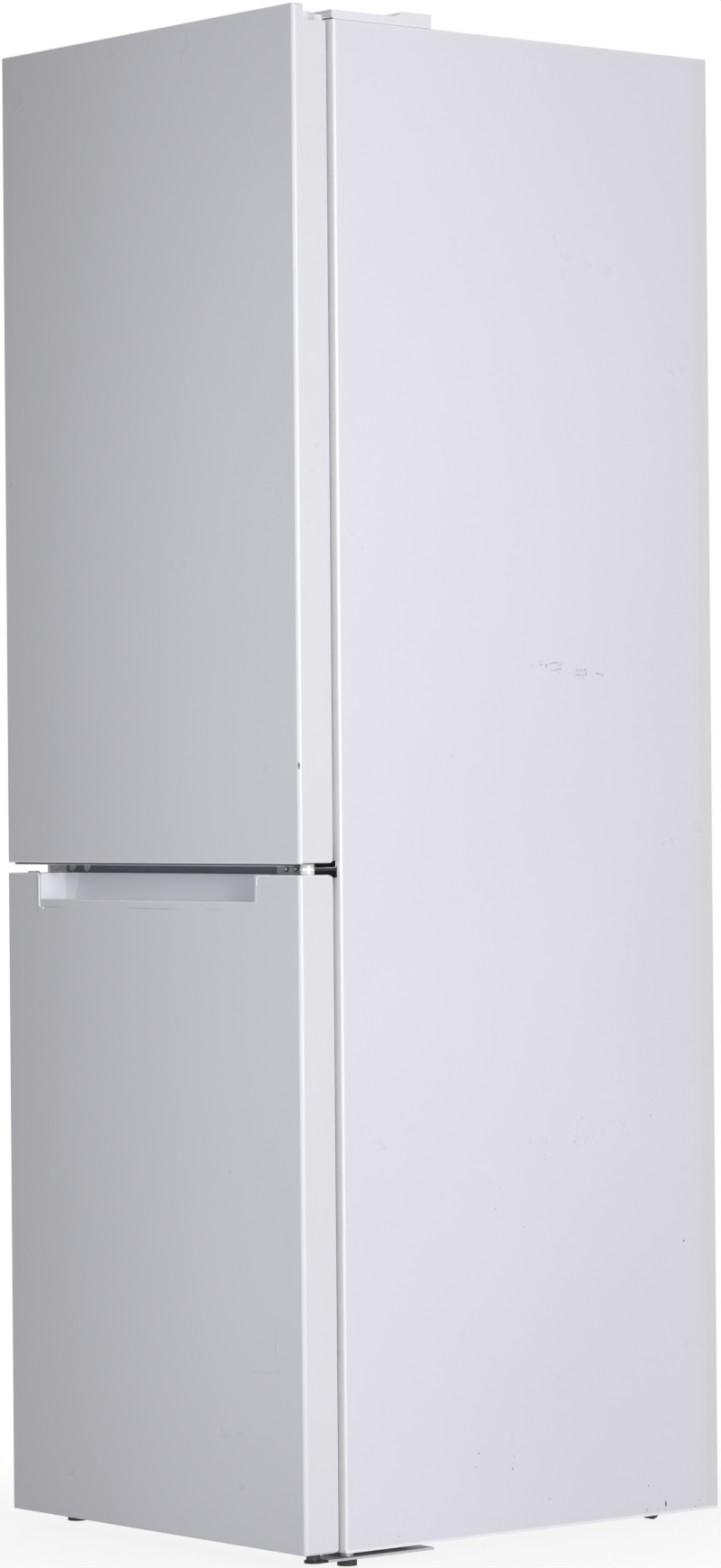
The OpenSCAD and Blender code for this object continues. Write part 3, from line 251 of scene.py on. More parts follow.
def grained(s, tone, low, high):
    """Ends a plastic with a fine grain and a roughness that wanders between low and high."""
    s.set(Base_Color=tone, Roughness=s.span(s.noise(40.0, 3.0), 0.3, 0.7, low, high),
          Normal=s.bump(s.noise(900.0, 3.0, 0.6), 0.00004, 0.5))
    return s.mat


def plated(s, tone, metallic, low, high):
    """Ends a plated or painted bracket with rolling lines."""
    lines = s.noise(300.0, 3.0, 0.6)
    s.set(Base_Color=tone, Metallic=metallic, Roughness=s.span(lines, 0.3, 0.7, low, high),
          Normal=s.bump(lines, 0.00005, 0.5))
    return s.mat


def middle_plate():
    """The hinge plate is coloured black as painted shade of the gap between the doors, the long end of the
    flange that is screwed to the rail is bare zinc, and the plate's nose round the pin is dipped in white
    plastic."""
    s = Shade("middle_hinge_zinc_and_painted_shade")
    flange = s.math("MULTIPLY", s.span(s.axis("Y"), *MIDDLE_FLANGE_Y), s.span(s.axis("X"), *MIDDLE_ZINC_X))
    zinc = s.mix(s.span(s.noise(60.0, 4.0, 0.6), 0.3, 0.7), (0.50, 0.50, 0.54), (0.60, 0.60, 0.64))
    tone = s.mix(flange, (0.014, 0.014, 0.016), zinc)
    tone = s.mix(s.span(s.axis("Y"), *MIDDLE_NOSE_Y), tone, (0.9, 0.9, 0.92))
    return plated(s, tone, 0.3, 0.36, 0.5)


def insert_plastic():
    """White moulding of the handle recess: the strip flush with the door has the door's colour and a faint
    seam, and deep in the recess a painted shade runs from light at the foot to dark at the top, for the upper
    door's shadow."""
    s = Shade("recess_plastic")
    low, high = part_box("handle_insert")
    deep = s.span(s.axis("Y"), FRONT_Y + 0.0004, FRONT_Y + 0.0012)
    tone = white_tone(s)
    # Painted shade: deep in the recess the colour runs from light at the sill to dark under the upper door
    upright = s.span(s.axis("Z"), low.z + 0.011, high.z - 0.004)
    upright = s.mix(upright, (0.95, 0.95, 0.97), (0.67, 0.67, 0.72))
    tone = s.mix(s.span(s.axis("Y"), FRONT_Y + 0.026, FRONT_Y + 0.038), tone, upright)
    seam = s.math("MULTIPLY", s.span(s.axis("Z"), low.z + 0.0016, low.z + 0.0010),
                  s.span(s.noise(7.0, 2.0), 0.44, 0.52))
    strip = s.mix(seam, mixed(DOOR_ENAMEL, 0.985), mixed(DOOR_ENAMEL, 0.74))
    return grained(s, s.mix(deep, strip, tone), 0.3, 0.4)


def freezer_cap_plastic():
    """The freezer door's upper end cap: a painted shadow in the corner that the steel's rounded edge leaves
    open.
    """
    s = Shade("freezer_cap_plastic")
    tone = white_tone(s)
    low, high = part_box("freezer_door_panel")
    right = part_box("handle_insert")[1].x + 0.003
    corner = s.math("MULTIPLY", s.span(s.axis("Y"), low.y + 0.0068, low.y + 0.0064),
                    s.span(s.axis("X"), right + 0.0100, right + 0.0098))
    corner = s.math("MULTIPLY", corner, s.span(s.axis("X"), right - 0.004, right - 0.0035))
    corner = s.math("MULTIPLY", corner, s.span(s.axis("Z"), high.z - 0.012, high.z - 0.0118))
    return grained(s, s.mix(corner, tone, CORNER_PAINTED_SHADOW), 0.36, 0.46)


def bushing_nylon():
    """The bushings between the doors are white; the one under the freezer door is coloured black as painted
    shade.
    """
    s = Shade("bushing_nylon")
    tone = s.mix(s.span(s.axis("Z"), *WHITE_BUSHING_Z), PAINTED_SHADE_BLACK, (0.93, 0.93, 0.93))
    tone = s.mix(s.span(s.noise(60.0, 3.0), 0.4, 0.8, 0.0, 0.1), tone, (0.5, 0.5, 0.5))
    return grained(s, tone, 0.34, 0.44)


def bottom_plate():
    """The lower hinge plate is zinc plated, with its nose in front of the cabinet coloured black as painted
    shade.
    """
    s = Shade("bottom_hinge_zinc_and_painted_shade")
    zinc = s.mix(s.span(s.noise(60.0, 4.0, 0.6), 0.3, 0.7), (0.50, 0.51, 0.54), (0.62, 0.62, 0.65))
    tone = s.mix(s.span(s.axis("Y"), *BOTTOM_NOSE_Y), zinc, (0.02, 0.02, 0.022))
    return plated(s, tone, 0.4, 0.32, 0.46)


def lip_plastic():
    """The lower end cap of the fridge door: a painted shadow in the seam between its lip and the steel."""
    s = Shade("lip_plastic")
    tone = s.mix(s.span(s.axis("Z"), *LIP_SEAM_Z), white_tone(s), PAINTED_SHADE_BLACK)
    return grained(s, tone, 0.36, 0.46)


def clear(name, colour, rough, ior, grain, through=0.92):
    """Clear or lightly frosted plastic and glass."""
    s = Shade(name)
    haze = s.noise(grain, 3.0, 0.6)
    gloss = s.span(haze, 0.3, 0.7, max(0.0, rough - 0.05), rough + 0.06)
    tone = s.mix(s.span(s.noise(12.0, 2.0), 0.3, 0.7), colour, mixed(colour, 0.97))
    s.set(Base_Color=tone, Roughness=gloss, IOR=ior, Transmission_Weight=through,
          Normal=s.bump(s.noise(30.0, 2.0), 0.0006, 0.12))
    return s.mat


def rubber(name, colour, rough=0.72):
    s = Shade(name)
    tone = s.mix(s.span(s.noise(60.0, 5.0, 0.7), 0.4, 0.75), colour, tuple(0.8 * c + 0.05 for c in colour))
    gloss = s.span(s.noise(35.0, 3.0), 0.3, 0.7, rough - 0.06, rough + 0.1)
    s.set(Base_Color=tone, Roughness=gloss, Normal=s.bump(s.noise(1300.0, 3.0, 0.7), 0.00008, 0.6))
    return s.mat


def foamed(name, colour):
    s = Shade(name)
    cell = s.cells(420.0)
    tone = s.mix(s.span(cell, 0.0, 0.7), mixed(colour, 0.72), colour)
    tone = s.mix(s.span(s.noise(9.0, 4.0), 0.35, 0.7, 0.0, 0.5), tone, mixed(colour, 0.85))
    s.set(Base_Color=tone, Roughness=0.9, Normal=s.bump(cell, 0.0008, 0.7))
    return s.mat


# Marks of use, each with its place, half sizes, turn, strength, colour and how broken up it is
def side_mark(b, z, length, height, strength, shade=GREY_MARK, turn=0.0, broken=0.0):
    """A mark on the right side. b is the distance behind the front of the doors, z the height, both in mm."""
    return ((SIDE_X, FRONT_Y + b * MM, z * MM), (0.02, length * MM / 2, height * MM / 2),
            (math.radians(turn), 0.0, 0.0), strength, shade, broken)


def front_mark(x, z, length, height, strength, shade=GREY_MARK, turn=0.0, broken=0.0):
    """A mark on the front of a door, by its distance from the middle and its height in mm."""
    return ((x * MM, FRONT_Y, z * MM), (length * MM / 2, 0.02, height * MM / 2),
            (0.0, math.radians(turn), 0.0), strength, shade, broken)


SIDE_MARKS = [
    side_mark(366.7, 1078.7, 3.2, 3.0, 0.5),
    side_mark(381.5, 1084.0, 9.0, 2.2, 0.35),
    side_mark(382.0, 1080.2, 9.5, 2.4, 0.55),
    side_mark(390.3, 1079.0, 3.0, 7.5, 0.85),
    side_mark(401.0, 1082.2, 17.0, 3.0, 0.5, turn=9),
    side_mark(407.0, 1083.0, 9.0, 2.6, 0.5),
    side_mark(412.5, 1080.5, 13.0, 8.0, 0.22),
    side_mark(406.0, 1074.0, 20.0, 2.8, 0.45, turn=10),
    side_mark(413.0, 1075.2, 6.5, 3.0, 0.5),
    side_mark(411.3, 1069.9, 5.0, 3.4, 0.35),
    side_mark(442.5, 1067.8, 15.0, 2.4, 0.65),
    side_mark(440.0, 1073.5, 4.5, 8.0, 0.3),
    side_mark(446.5, 1073.5, 13.0, 6.0, 0.22),
    side_mark(454.4, 1074.0, 3.0, 6.0, 0.85, turn=8),
    side_mark(455.5, 1069.5, 3.0, 6.5, 0.7),
    side_mark(452.0, 1067.8, 8.0, 2.4, 0.4),
    side_mark(450.5, 1064.7, 5.0, 2.6, 0.35),
    side_mark(474.5, 1070.0, 8.0, 3.0, 0.5, turn=-8),
    side_mark(478.0, 1069.3, 16.0, 2.4, 0.45, turn=-12),
    side_mark(483.5, 1067.7, 4.0, 3.0, 0.5),
    side_mark(598, 862, 11.0, 3.2, 0.3, turn=-40),
    side_mark(583, 858, 7.0, 3.2, 0.25),
    side_mark(383.2, 493.0, 2.2, 5.0, 0.55),
    side_mark(382.2, 471.8, 2.0, 3.0, 0.45),
    side_mark(430.3, 491.4, 2.4, 6.0, 0.6),
    side_mark(612, 358, 2.6, 4, 1.0, DARK_MARK),
    side_mark(347.0, 391.2, 2.8, 3.0, 0.5),
    side_mark(300.2, 415.9, 2.4, 4.0, 0.45),
    side_mark(270.7, 119.7, 4.0, 3.0, 0.9),
    side_mark(266.1, 103.3, 3.0, 3.2, 0.7),
    side_mark(324.5, 96.7, 3.4, 4.5, 0.8),
    side_mark(327.4, 111.6, 3.0, 3.2, 0.7),
    side_mark(132, 32.4, 7, 2.2, 0.65, turn=20, broken=0.2),
    side_mark(143, 31.2, 5, 2.0, 0.6),
    side_mark(548.5, 55.7, 3.0, 4.0, 0.85),
    side_mark(557.5, 55.5, 4.0, 2.2, 0.4),
    side_mark(383.5, 54.8, 3.0, 2.6, 0.75),
    side_mark(577.6, 31.0, 3.6, 11.0, 1.0, DARK_MARK),
    side_mark(577.4, 22.6, 2.4, 4.0, 0.6),
    side_mark(545.8, 26.0, 2.6, 6.0, 0.7, turn=12),
    side_mark(544.8, 20.6, 2.6, 5.0, 0.7),
    side_mark(628.0, 23.0, 3.0, 3.0, 0.7),
    side_mark(634.5, 30.0, 5.0, 2.0, 0.5, turn=15),
]
# Small round specks: b, z, diameter, strength
SIDE_SPECKS = (
    (442.3, 520.3, 2.8, 0.75), (557.4, 518.2, 2.8, 0.75), (521.0, 496.4, 2.4, 0.5), (358.0, 495.2, 2.4, 0.5),
    (382.4, 484.8, 2.2, 0.5), (382.3, 476.5, 2.2, 0.5), (371.8, 464.7, 2.0, 0.35), (381.0, 462.2, 2.0, 0.35),
    (429.8, 484.9, 2.2, 0.5), (429.5, 475.1, 2.2, 0.4), (427.9, 462.7, 2.0, 0.35), (449.0, 491.8, 2.4, 0.5),
    (448.9, 487.0, 2.0, 0.4), (558.9, 538.4, 2.4, 0.4), (566.6, 549.4, 2.2, 0.35), (565.2, 531.8, 2.2, 0.35),
    (559.0, 614.4, 2.2, 0.35), (291.0, 447.4, 2.2, 0.4), (308.8, 441.3, 2.2, 0.4))
SIDE_MARKS += [side_mark(b, z, across, across, strength) for b, z, across, strength in SIDE_SPECKS]
FRIDGE_FRONT_MARKS = [
    front_mark(-131, 1840, 5, 3, 0.6, broken=1.0),
    front_mark(-157, 1181, 2.4, 2.4, 0.8),
    front_mark(295.5, 957, 3, 11, 0.9, DARK_MARK),
]
FREEZER_FRONT_MARKS = [
    front_mark(243.5, 272, 1.1, 58, 0.4, turn=5),
    front_mark(247, 237.5, 1.1, 18, 0.4, turn=-42),
    front_mark(218, 232.5, 70, 1.1, 0.35, turn=-2.5),
    front_mark(-47, 97.6, 2.2, 2.2, 0.5),
]

SIDE_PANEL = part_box("right_side_panel")
# Edges of the side panels coloured lighter as painted highlight: front, top, bottom and rear
CABINET_HIGHLIGHT_EDGES = (("Y", SIDE_PANEL[0].y, 0.0022, -1), ("Z", SIDE_PANEL[1].z, 0.003, 1),
                 ("Z", SIDE_PANEL[0].z, 0.0045, -1), ("Y", SIDE_PANEL[1].y, 0.003, 1))
MATERIALS = {
    # The side is darker and less blue in its last strip before the rear edge
    "cabinet_steel": painted("cabinet_enamel", WHITE_ENAMEL, SIDE_MARKS, edges=CABINET_HIGHLIGHT_EDGES,
                             bands=(("Y", *SIDE_REAR_Y, REAR_STRIP_TONE),)),
    "door_steel": painted("door_enamel", DOOR_ENAMEL),
    "plain_steel": metal("galvanised_sheet", (0.62, 0.63, 0.65), 0.38, spangle=110.0),
    # The rail is blue-grey enamel, darkened further as painted shade of the gap between the doors
    "rail_steel": painted("rail_enamel_painted_shade", (0.25, 0.27, 0.34), rough=0.4),
    "hinge_steel": metal("zinc_plate", (0.50, 0.51, 0.54), 0.34, brushed=(1.0, 6.0, 1.0)),
    "black_enamel": painted("black_enamel", (0.022, 0.022, 0.024), rough=0.35),
    "copper": metal("copper_tube", (0.72, 0.36, 0.22), 0.3, tarnish=(0.28, 0.13, 0.07)),
    "coil_aluminium": metal("fin_aluminium", (0.78, 0.79, 0.8), 0.3, brushed=(1.0, 5.0, 1.0)),
    "foam": foamed("polyurethane_foam", (0.80, 0.66, 0.36)),
    "liner_plastic": moulded("liner_polystyrene", (0.83, 0.835, 0.84), 0.24, 260.0, 0.00008, 0.985),
    "white_plastic": moulded("white_plastic", WHITE_PLASTIC, 0.36, blotch=0.985),
    "nylon": moulded("white_nylon", (0.93, 0.93, 0.93), 0.4),
    "lamp_lens": clear("frosted_lens", (0.93, 0.93, 0.90), 0.42, 1.49, 500.0, 0.6),
    "clear_plastic": clear("clear_polystyrene", (0.80, 0.88, 0.93), 0.12, 1.5, 300.0, 0.9),
    "shelf_glass": clear("shelf_glass", (0.86, 0.95, 0.93), 0.02, 1.5, 200.0, 0.96),
    "seal_rubber": rubber("seal_rubber", (0.84, 0.84, 0.86)),
    "black_rubber": rubber("black_rubber", (0.025, 0.025, 0.026)),
    "black_plastic": moulded("black_plastic", (0.03, 0.03, 0.033), 0.5, blotch=0.8),
}
FRIDGE_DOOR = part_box("fridge_door_panel")
FREEZER_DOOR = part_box("freezer_door_panel")
# The doors' top and bottom edges are coloured lighter as painted highlight
FRIDGE_PANEL = painted("fridge_door_enamel", DOOR_ENAMEL, FRIDGE_FRONT_MARKS,
                       edges=(("Z", FRIDGE_DOOR[1].z, 0.0024, 1), ("Z", FRIDGE_DOOR[0].z, 0.0024, -1)))
FREEZER_PANEL = painted("freezer_door_enamel", DOOR_ENAMEL, FREEZER_FRONT_MARKS,
                        edges=(("Z", FREEZER_DOOR[1].z, 0.0024, 1),))
NODE_MATERIALS = {"fridge_door_panel": FRIDGE_PANEL, "freezer_door_panel": FREEZER_PANEL,
                  "middle_hinge_bracket": middle_plate(), "handle_insert": insert_plastic(),
                  "fridge_door_bottom_cap": lip_plastic(), "freezer_door_top_cap": freezer_cap_plastic(),
                  "freezer_door_bushings": bushing_nylon(), "bottom_hinge_bracket": bottom_plate()}

for part in record["subparts"]:
    obj = nodes[part["node"]]
    mat = NODE_MATERIALS.get(part["node"], MATERIALS[part["material_slot"]])
    if len(obj.material_slots) == 0:
        obj.data.materials.append(mat)
    for held in obj.material_slots:
        held.material = mat


# Builders of the pieces that the frame's plain solids don't show
def rounded_path(corners, radius, steps=6):
    """A polyline whose inner corners are rounded."""
    points = [Vector(c) for c in corners]
    path = [points[0]]
    for before, here, after in zip(points, points[1:], points[2:]):
        back, on = (before - here), (after - here)
        cut = min(radius, back.length / 2, on.length / 2)
        a, b = here + back.normalized() * cut, here + on.normalized() * cut
        for i in range(steps + 1):
            t = i / steps
            path.append((1 - t) ** 2 * a + 2 * t * (1 - t) * here + t * t * b)
    return path + [points[-1]]


def add_tube(bm, path, radius, sides=10):
    rings, up = [], None
    for i, at in enumerate(path):
        way = (path[min(i + 1, len(path) - 1)] - path[max(i - 1, 0)]).normalized()
        up = (way.orthogonal() if up is None else up - up.dot(way) * way).normalized()
        side = way.cross(up)
        rings.append([bm.verts.new(at + radius * (math.cos(k) * up + math.sin(k) * side))
                      for k in (math.tau * j / sides for j in range(sides))])
    for low, high in zip(rings, rings[1:]):
        for j in range(sides):
            k = (j + 1) % sides
            bm.faces.new((low[j], low[k], high[k], high[j]))
    bm.faces.new(rings[0][::-1])
    bm.faces.new(rings[-1])


def add_screw(bm, at, way, head_r, head_h, shank_r, shank_l):
    """A pan-head screw with a cross recess. at is the seat of the head, way points out of the head."""
    turn = Vector(way).to_track_quat("Z", "Y").to_matrix()
    around = 24

    def ring(r, z):
        return [bm.verts.new(Vector(at) + turn @ Vector((r * math.cos(a), r * math.sin(a), z)))
                for a in (math.tau * i / around for i in range(around))]

    profile = [(shank_r * 0.3, -shank_l), (shank_r, -shank_l + shank_r * 0.8), (shank_r, 0.0), (head_r, 0.0),
               (head_r, head_h * 0.35), (head_r * 0.93, head_h * 0.7), (head_r * 0.74, head_h * 0.93),
               (head_r * 0.6, head_h)]
    rings = [ring(r, z) for r, z in profile]
    for low, high in zip(rings, rings[1:]):
        for i in range(around):
            k = (i + 1) % around
            bm.faces.new((low[i], low[k], high[k], high[i]))
    bm.faces.new(rings[0][::-1])
    arm, half = head_r * 0.5, head_r * 0.13
    cross = [(arm, -half), (arm, half), (half, half), (half, arm), (-half, arm), (-half, half),
             (-arm, half), (-arm, -half), (-half, -half), (-half, -arm), (half, -arm), (half, -half)]
    top = [bm.verts.new(Vector(at) + turn @ Vector((x, y, head_h))) for x, y in cross]
    deep = [bm.verts.new(Vector(at) + turn @ Vector((x * 0.7, y * 0.7, head_h * 0.4))) for x, y in cross]
    edges = [bm.edges.new((top[i], top[(i + 1) % 12])) for i in range(12)]
    edges += [bm.edges.get((rings[-1][i], rings[-1][(i + 1) % around])) for i in range(around)]
    bmesh.ops.triangle_fill(bm, edges=edges, use_beauty=True)
    for i in range(12):
        k = (i + 1) % 12
        bm.faces.new((top[i], top[k], deep[k], deep[i]))
    bm.faces.new(deep)


def make_piece(name, bm, body, mat, replaced=(), sharp=35.0):
    bmesh.ops.recalc_face_normals(bm, faces=bm.faces)
    mesh = bpy.data.meshes.new(name)
    bm.to_mesh(mesh)
    bm.free()
    mesh.materials.append(mat)
    mesh.shade_smooth()
    mesh.set_sharp_from_angle(angle=math.radians(sharp))
    obj = bpy.data.objects.new(name, mesh)
    bpy.context.scene.collection.objects.link(obj)
    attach(obj, body)
    if replaced:
        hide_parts(*replaced)
    return obj


def mm(*values):
    return Vector([v * MM for v in values])


# The beads' light colour is painted highlight on rolled edges
BEAD_HIGHLIGHT_WHITE = moulded("bead_painted_highlight", (0.95, 0.95, 0.96), 0.25)

# Door seals: a foot in the liner's groove, a folded bellows and the magnetic head
SEAL_PROFILE = [
    (5.0, 0.0), (5.0, 2.6), (2.4, 3.4), (0.7, 4.6), (0.3, 6.0), (1.3, 7.0), (3.2, 7.6), (1.1, 8.4), (0.0, 9.6),
    (0.2, 11.3), (1.3, 12.2), (9.0, 12.05), (16.7, 12.2), (17.8, 11.3), (18.0, 9.6), (16.9, 8.4), (14.8, 7.6),
    (16.7, 7.0), (17.7, 6.0), (17.3, 4.6), (15.6, 3.4), (13.0, 2.6), (13.0, 0.0)]
SEAL_CORNER = 20.0
SEAL_STEPS = 8


def door_seal(name, node, body):
    """The profile, inward from the seal's outline and back from the door in mm, swept round the door."""
    low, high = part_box(node)
    corner, steps = SEAL_CORNER * MM, SEAL_STEPS
    path = []
    turns = ((high.x, high.z, 0), (low.x, high.z, 90), (low.x, low.z, 180), (high.x, low.z, 270))
    for cx, cz, start in turns:
        centre = Vector((cx - math.copysign(corner, cx), 0.0,
                         cz - corner if cz == high.z else cz + corner))
        for i in range(steps + 1):
            a = math.radians(start + 90 * i / steps)
            path.append((centre, Vector((math.cos(a), 0.0, math.sin(a)))))
    bm = bmesh.new()
    rings = []
    for centre, out in path:
        section = [centre + out * (corner - inward * MM) + Vector((0.0, low.y + deep * MM, 0.0))
                   for inward, deep in SEAL_PROFILE]
        rings.append([bm.verts.new(v) for v in section])
    count = len(SEAL_PROFILE)
    for i, ring in enumerate(rings):
        after = rings[(i + 1) % len(rings)]
        for j in range(count):
            k = (j + 1) % count
            bm.faces.new((ring[j], ring[k], after[k], after[j]))
    make_piece(name, bm, body, MATERIALS["seal_rubber"], (node,), 50.0)


door_seal("fridge_door_seal", "fridge_door_gasket", "fridge_door")
door_seal("freezer_door_seal", "freezer_door_gasket", "freezer_door")

# Beads round the handle recess: the rolled edge of the steel on its left and right, the door's rolled top
# edge from there to the hinge side, and the edge of the moulding inside the recess, all coloured lighter as
# painted highlight
BEND = 8 * MM
RIM_BEND = 9 * MM
STEEL_BEAD_R = 1.25 * MM
RIGHT_BEAD_R = 0.55 * MM
RIM_R = 1.1 * MM
MOULDING_BEAD_R = 1.15 * MM
low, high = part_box("handle_insert")
front, top = low.y, high.z
left, right, inner = low.x - 1.0 * MM, high.x + 1.0 * MM, low.x + 0.9 * MM
door_side, door_rear = FREEZER_DOOR[1].x, FREEZER_DOOR[1].y
steel = [(left - 4 * MM, front, top - 0.6 * MM), (left, front, top - 2.5 * MM),
         (left, front, low.z), (left + 9 * MM, front, low.z - 0.4 * MM)]
right_bead = [(right, front + 0.4 * MM, top - 9 * MM), (right, front + 0.4 * MM, low.z + 10 * MM)]
rim = [(right + 0.4 * MM, front + 0.5 * MM, top - 12 * MM),
       (right + 0.4 * MM, front + 0.5 * MM, top - 0.9 * MM),
       (door_side - 6.0 * MM, front + 0.5 * MM, top - 0.9 * MM),
       (door_side - 2.4 * MM, front + 1.8 * MM, top - 1.1 * MM),
       (door_side - 1.2 * MM, front + 6.0 * MM, top - 1.2 * MM),
       (door_side - 1.2 * MM, door_rear - 7 * MM, top - 1.2 * MM)]
moulding = [(inner, front + 2.2 * MM, top - 0.8 * MM), (inner, front + 2.2 * MM, low.z + 11 * MM)]
bm = bmesh.new()
add_tube(bm, rounded_path(steel, BEND, 8), STEEL_BEAD_R)
add_tube(bm, rounded_path(right_bead, BEND), RIGHT_BEAD_R)
add_tube(bm, rounded_path(rim, RIM_BEND, 8), RIM_R)
add_tube(bm, rounded_path(moulding, BEND), MOULDING_BEAD_R)
make_piece("recess_beads", bm, "freezer_door", BEAD_HIGHLIGHT_WHITE)

# Rounded front edge of the recess's sill, coloured lighter as painted highlight
SILL_H = 10 * MM
SILL_EDGE_R = 1.0 * MM
bm = bmesh.new()
sill = [(x, front + 0.8 * MM, low.z + SILL_H - 0.4 * MM) for x in (low.x + 1.2 * MM, high.x - 1.2 * MM)]
add_tube(bm, rounded_path(sill, BEND), SILL_EDGE_R)
make_piece("sill_edge", bm, "freezer_door", BEAD_HIGHLIGHT_WHITE)

# Thick folded front edges of the cabinet's sides, which slope back to the corner, coloured lighter as painted
# highlight. The profile is given inward from the side and out from the front, in mm
FOLD_PROFILE = [(12.0, -0.3), (11.4, 2.1), (10.6, 2.3), (3.0, 0.95), (1.6, 0.3), (1.2, -0.3)]
low, high = SIDE_PANEL
bm = bmesh.new()
for way in (1.0, -1.0):
    section = [(way * (high.x - inward * MM), low.y - out * MM) for inward, out in FOLD_PROFILE]
    rings = [[bm.verts.new((x, y, z)) for x, y in section] for z in (low.z + 2 * MM, high.z - 2 * MM)]
    for j in range(len(FOLD_PROFILE)):
        k = (j + 1) % len(FOLD_PROFILE)
        bm.faces.new((rings[0][j], rings[0][k], rings[1][k], rings[1][j]))
    bm.faces.new(rings[0][::-1])
    bm.faces.new(rings[1])
make_piece("front_folds", bm, "cabinet", painted("fold_painted_highlight", EDGE_HIGHLIGHT_PAINT), sharp=30.0)

# Hinge screws: the seats of the heads in mm, the way that the heads point and the shanks' length in mm
HEAD_R, HEAD_H, SHANK_R = 4 * MM, 2.5 * MM, 2 * MM
TOP_SCREWS = [(232.0, -236.5, 1851.0), (262.0, -236.5, 1851.0), (247.0, -211.5, 1851.0)]
MIDDLE_SCREWS = [(196.0, -274.0, 833.5), (214.0, -274.0, 833.5), (250.0, -274.0, 833.5)]
BOTTOM_SCREWS = [(233.0, -251.5, 15.0), (233.0, -161.5, 15.0)]
bm = bmesh.new()
for seats, way, shank in ((TOP_SCREWS, (0, 0, 1), 4.0), (MIDDLE_SCREWS, (0, -1, 0), 3.5),
                          (BOTTOM_SCREWS, (0, 0, -1), 4.0)):
    for seat in seats:
        add_screw(bm, mm(*seat), way, HEAD_R, HEAD_H, SHANK_R, shank * MM)
make_piece("cross_head_screws", bm, "cabinet", MATERIALS["hinge_steel"], ("hinge_screws",))

# Bright rolled edge of the middle hinge's plate
PLATE_EDGE = [mm(287.0, -306.0, 835.2), mm(291.4, -274.2, 835.2), mm(291.4, -274.2, 843.2)]
PLATE_EDGE_BEND, PLATE_EDGE_R = 3 * MM, 0.5 * MM
bm = bmesh.new()
add_tube(bm, rounded_path(PLATE_EDGE, PLATE_EDGE_BEND), PLATE_EDGE_R)
make_piece("hinge_plate_edge", bm, "cabinet", MATERIALS["hinge_steel"])

# Scale of the thermostat: marks that grow round the dial, apart from those that the housing has no room for
SCALE_MARKS = 9
SCALE_FROM, SCALE_SWEEP = 225, 270
SCALE_R = 0.0148
HOUSING_HALF = 0.0135
MARK_L, MARK_L_STEP = 0.0022, 0.0003
MARK_HALF, MARK_HALF_STEP = 0.0003, 0.0001
MARK_PROUD, MARK_T = 0.0002, 0.0003
low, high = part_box("temperature_dial")
centre = (low + high) / 2
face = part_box("control_box")[0].y
bm = bmesh.new()
for i in range(SCALE_MARKS):
    a = math.radians(SCALE_FROM - SCALE_SWEEP * i / (SCALE_MARKS - 1))
    way, across = Vector((math.cos(a), 0.0, math.sin(a))), Vector((-math.sin(a), 0.0, math.cos(a)))
    start = Vector((centre.x, face - MARK_PROUD, centre.z)) + way * SCALE_R
    if abs(start.z - centre.z) > HOUSING_HALF:
        continue
    length, half = MARK_L + MARK_L_STEP * i, MARK_HALF + MARK_HALF_STEP * i
    corners = [start - across * half, start + way * length - across * half,
               start + way * length + across * half, start + across * half]
    ring = [bm.verts.new(c) for c in corners]
    lifted = [bm.verts.new(c + Vector((0.0, MARK_T, 0.0))) for c in corners]
    bm.faces.new(ring)
    bm.faces.new(lifted[::-1])
    for j in range(4):
        k = (j + 1) % 4
        bm.faces.new((ring[j], ring[k], lifted[k], lifted[j]))
make_piece("dial_scale", bm, "cabinet", MATERIALS["black_plastic"])

# Prisms across the lamp's lens
PRISMS = 24
LENS_RIM = 0.003
PRISM_FOOT, PRISM_TIP = 0.0001, 0.0010
low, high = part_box("led_lamp_lens")
bm = bmesh.new()
for i in range(PRISMS):
    x0, x1 = [low.x + LENS_RIM + (high.x - low.x - 2 * LENS_RIM) * k / PRISMS for k in (i, i + 1)]
    section = ((x0, low.z + PRISM_FOOT), ((x0 + x1) / 2, low.z - PRISM_TIP), (x1, low.z + PRISM_FOOT))
    verts = [bm.verts.new((x, y, z)) for y in (low.y + LENS_RIM, high.y - LENS_RIM) for x, z in section]
    bm.faces.new((verts[0], verts[1], verts[2]))
    bm.faces.new((verts[5], verts[4], verts[3]))
    for a, b in ((0, 1), (1, 2), (2, 0)):
        bm.faces.new((verts[a], verts[b], verts[b + 3], verts[a + 3]))
make_piece("lens_prisms", bm, "cabinet", MATERIALS["lamp_lens"], sharp=20.0)

# Camera
yaw, pitch, roll = math.radians(YAW), math.radians(PITCH), math.radians(ROLL)
ahead = Vector((-math.sin(yaw) * math.cos(pitch), math.cos(yaw) * math.cos(pitch), math.sin(pitch)))
level = Vector((math.cos(yaw), math.sin(yaw), 0.0))
upright = level.cross(ahead)
side_way = math.cos(roll) * level - math.sin(roll) * upright
up_way = math.sin(roll) * level + math.cos(roll) * upright
turn = Matrix((side_way, up_way, -ahead)).transposed().to_4x4()
camera_data = bpy.data.cameras.new("photo_camera")
camera_data.sensor_fit = "VERTICAL"
camera_data.sensor_height = SENSOR_MM
camera_data.lens = FOCAL_PX * SENSOR_MM / PICTURE_H
camera_data.clip_end = 100.0
camera = bpy.data.objects.new("photo_camera", camera_data)
bpy.context.scene.collection.objects.link(camera)
camera.matrix_world = Matrix.Translation(CAMERA_AT) @ turn
bpy.context.scene.camera = camera


# Lights
def area_light(name, at, aim, size, height, power, colour=(1.0, 1.0, 1.0)):
    """A rectangular lamp at a place in metres that faces another place."""
    data = bpy.data.lights.new(name, "AREA")
    data.shape = "RECTANGLE"
    data.size = size
    data.size_y = height
    data.energy = power
    data.color = colour
    light = bpy.data.objects.new(name, data)
    bpy.context.scene.collection.objects.link(light)
    way = (Vector(aim) - Vector(at)).normalized()
    light.matrix_world = Matrix.Translation(at) @ way.to_track_quat("-Z", "Y").to_matrix().to_4x4()
    return light


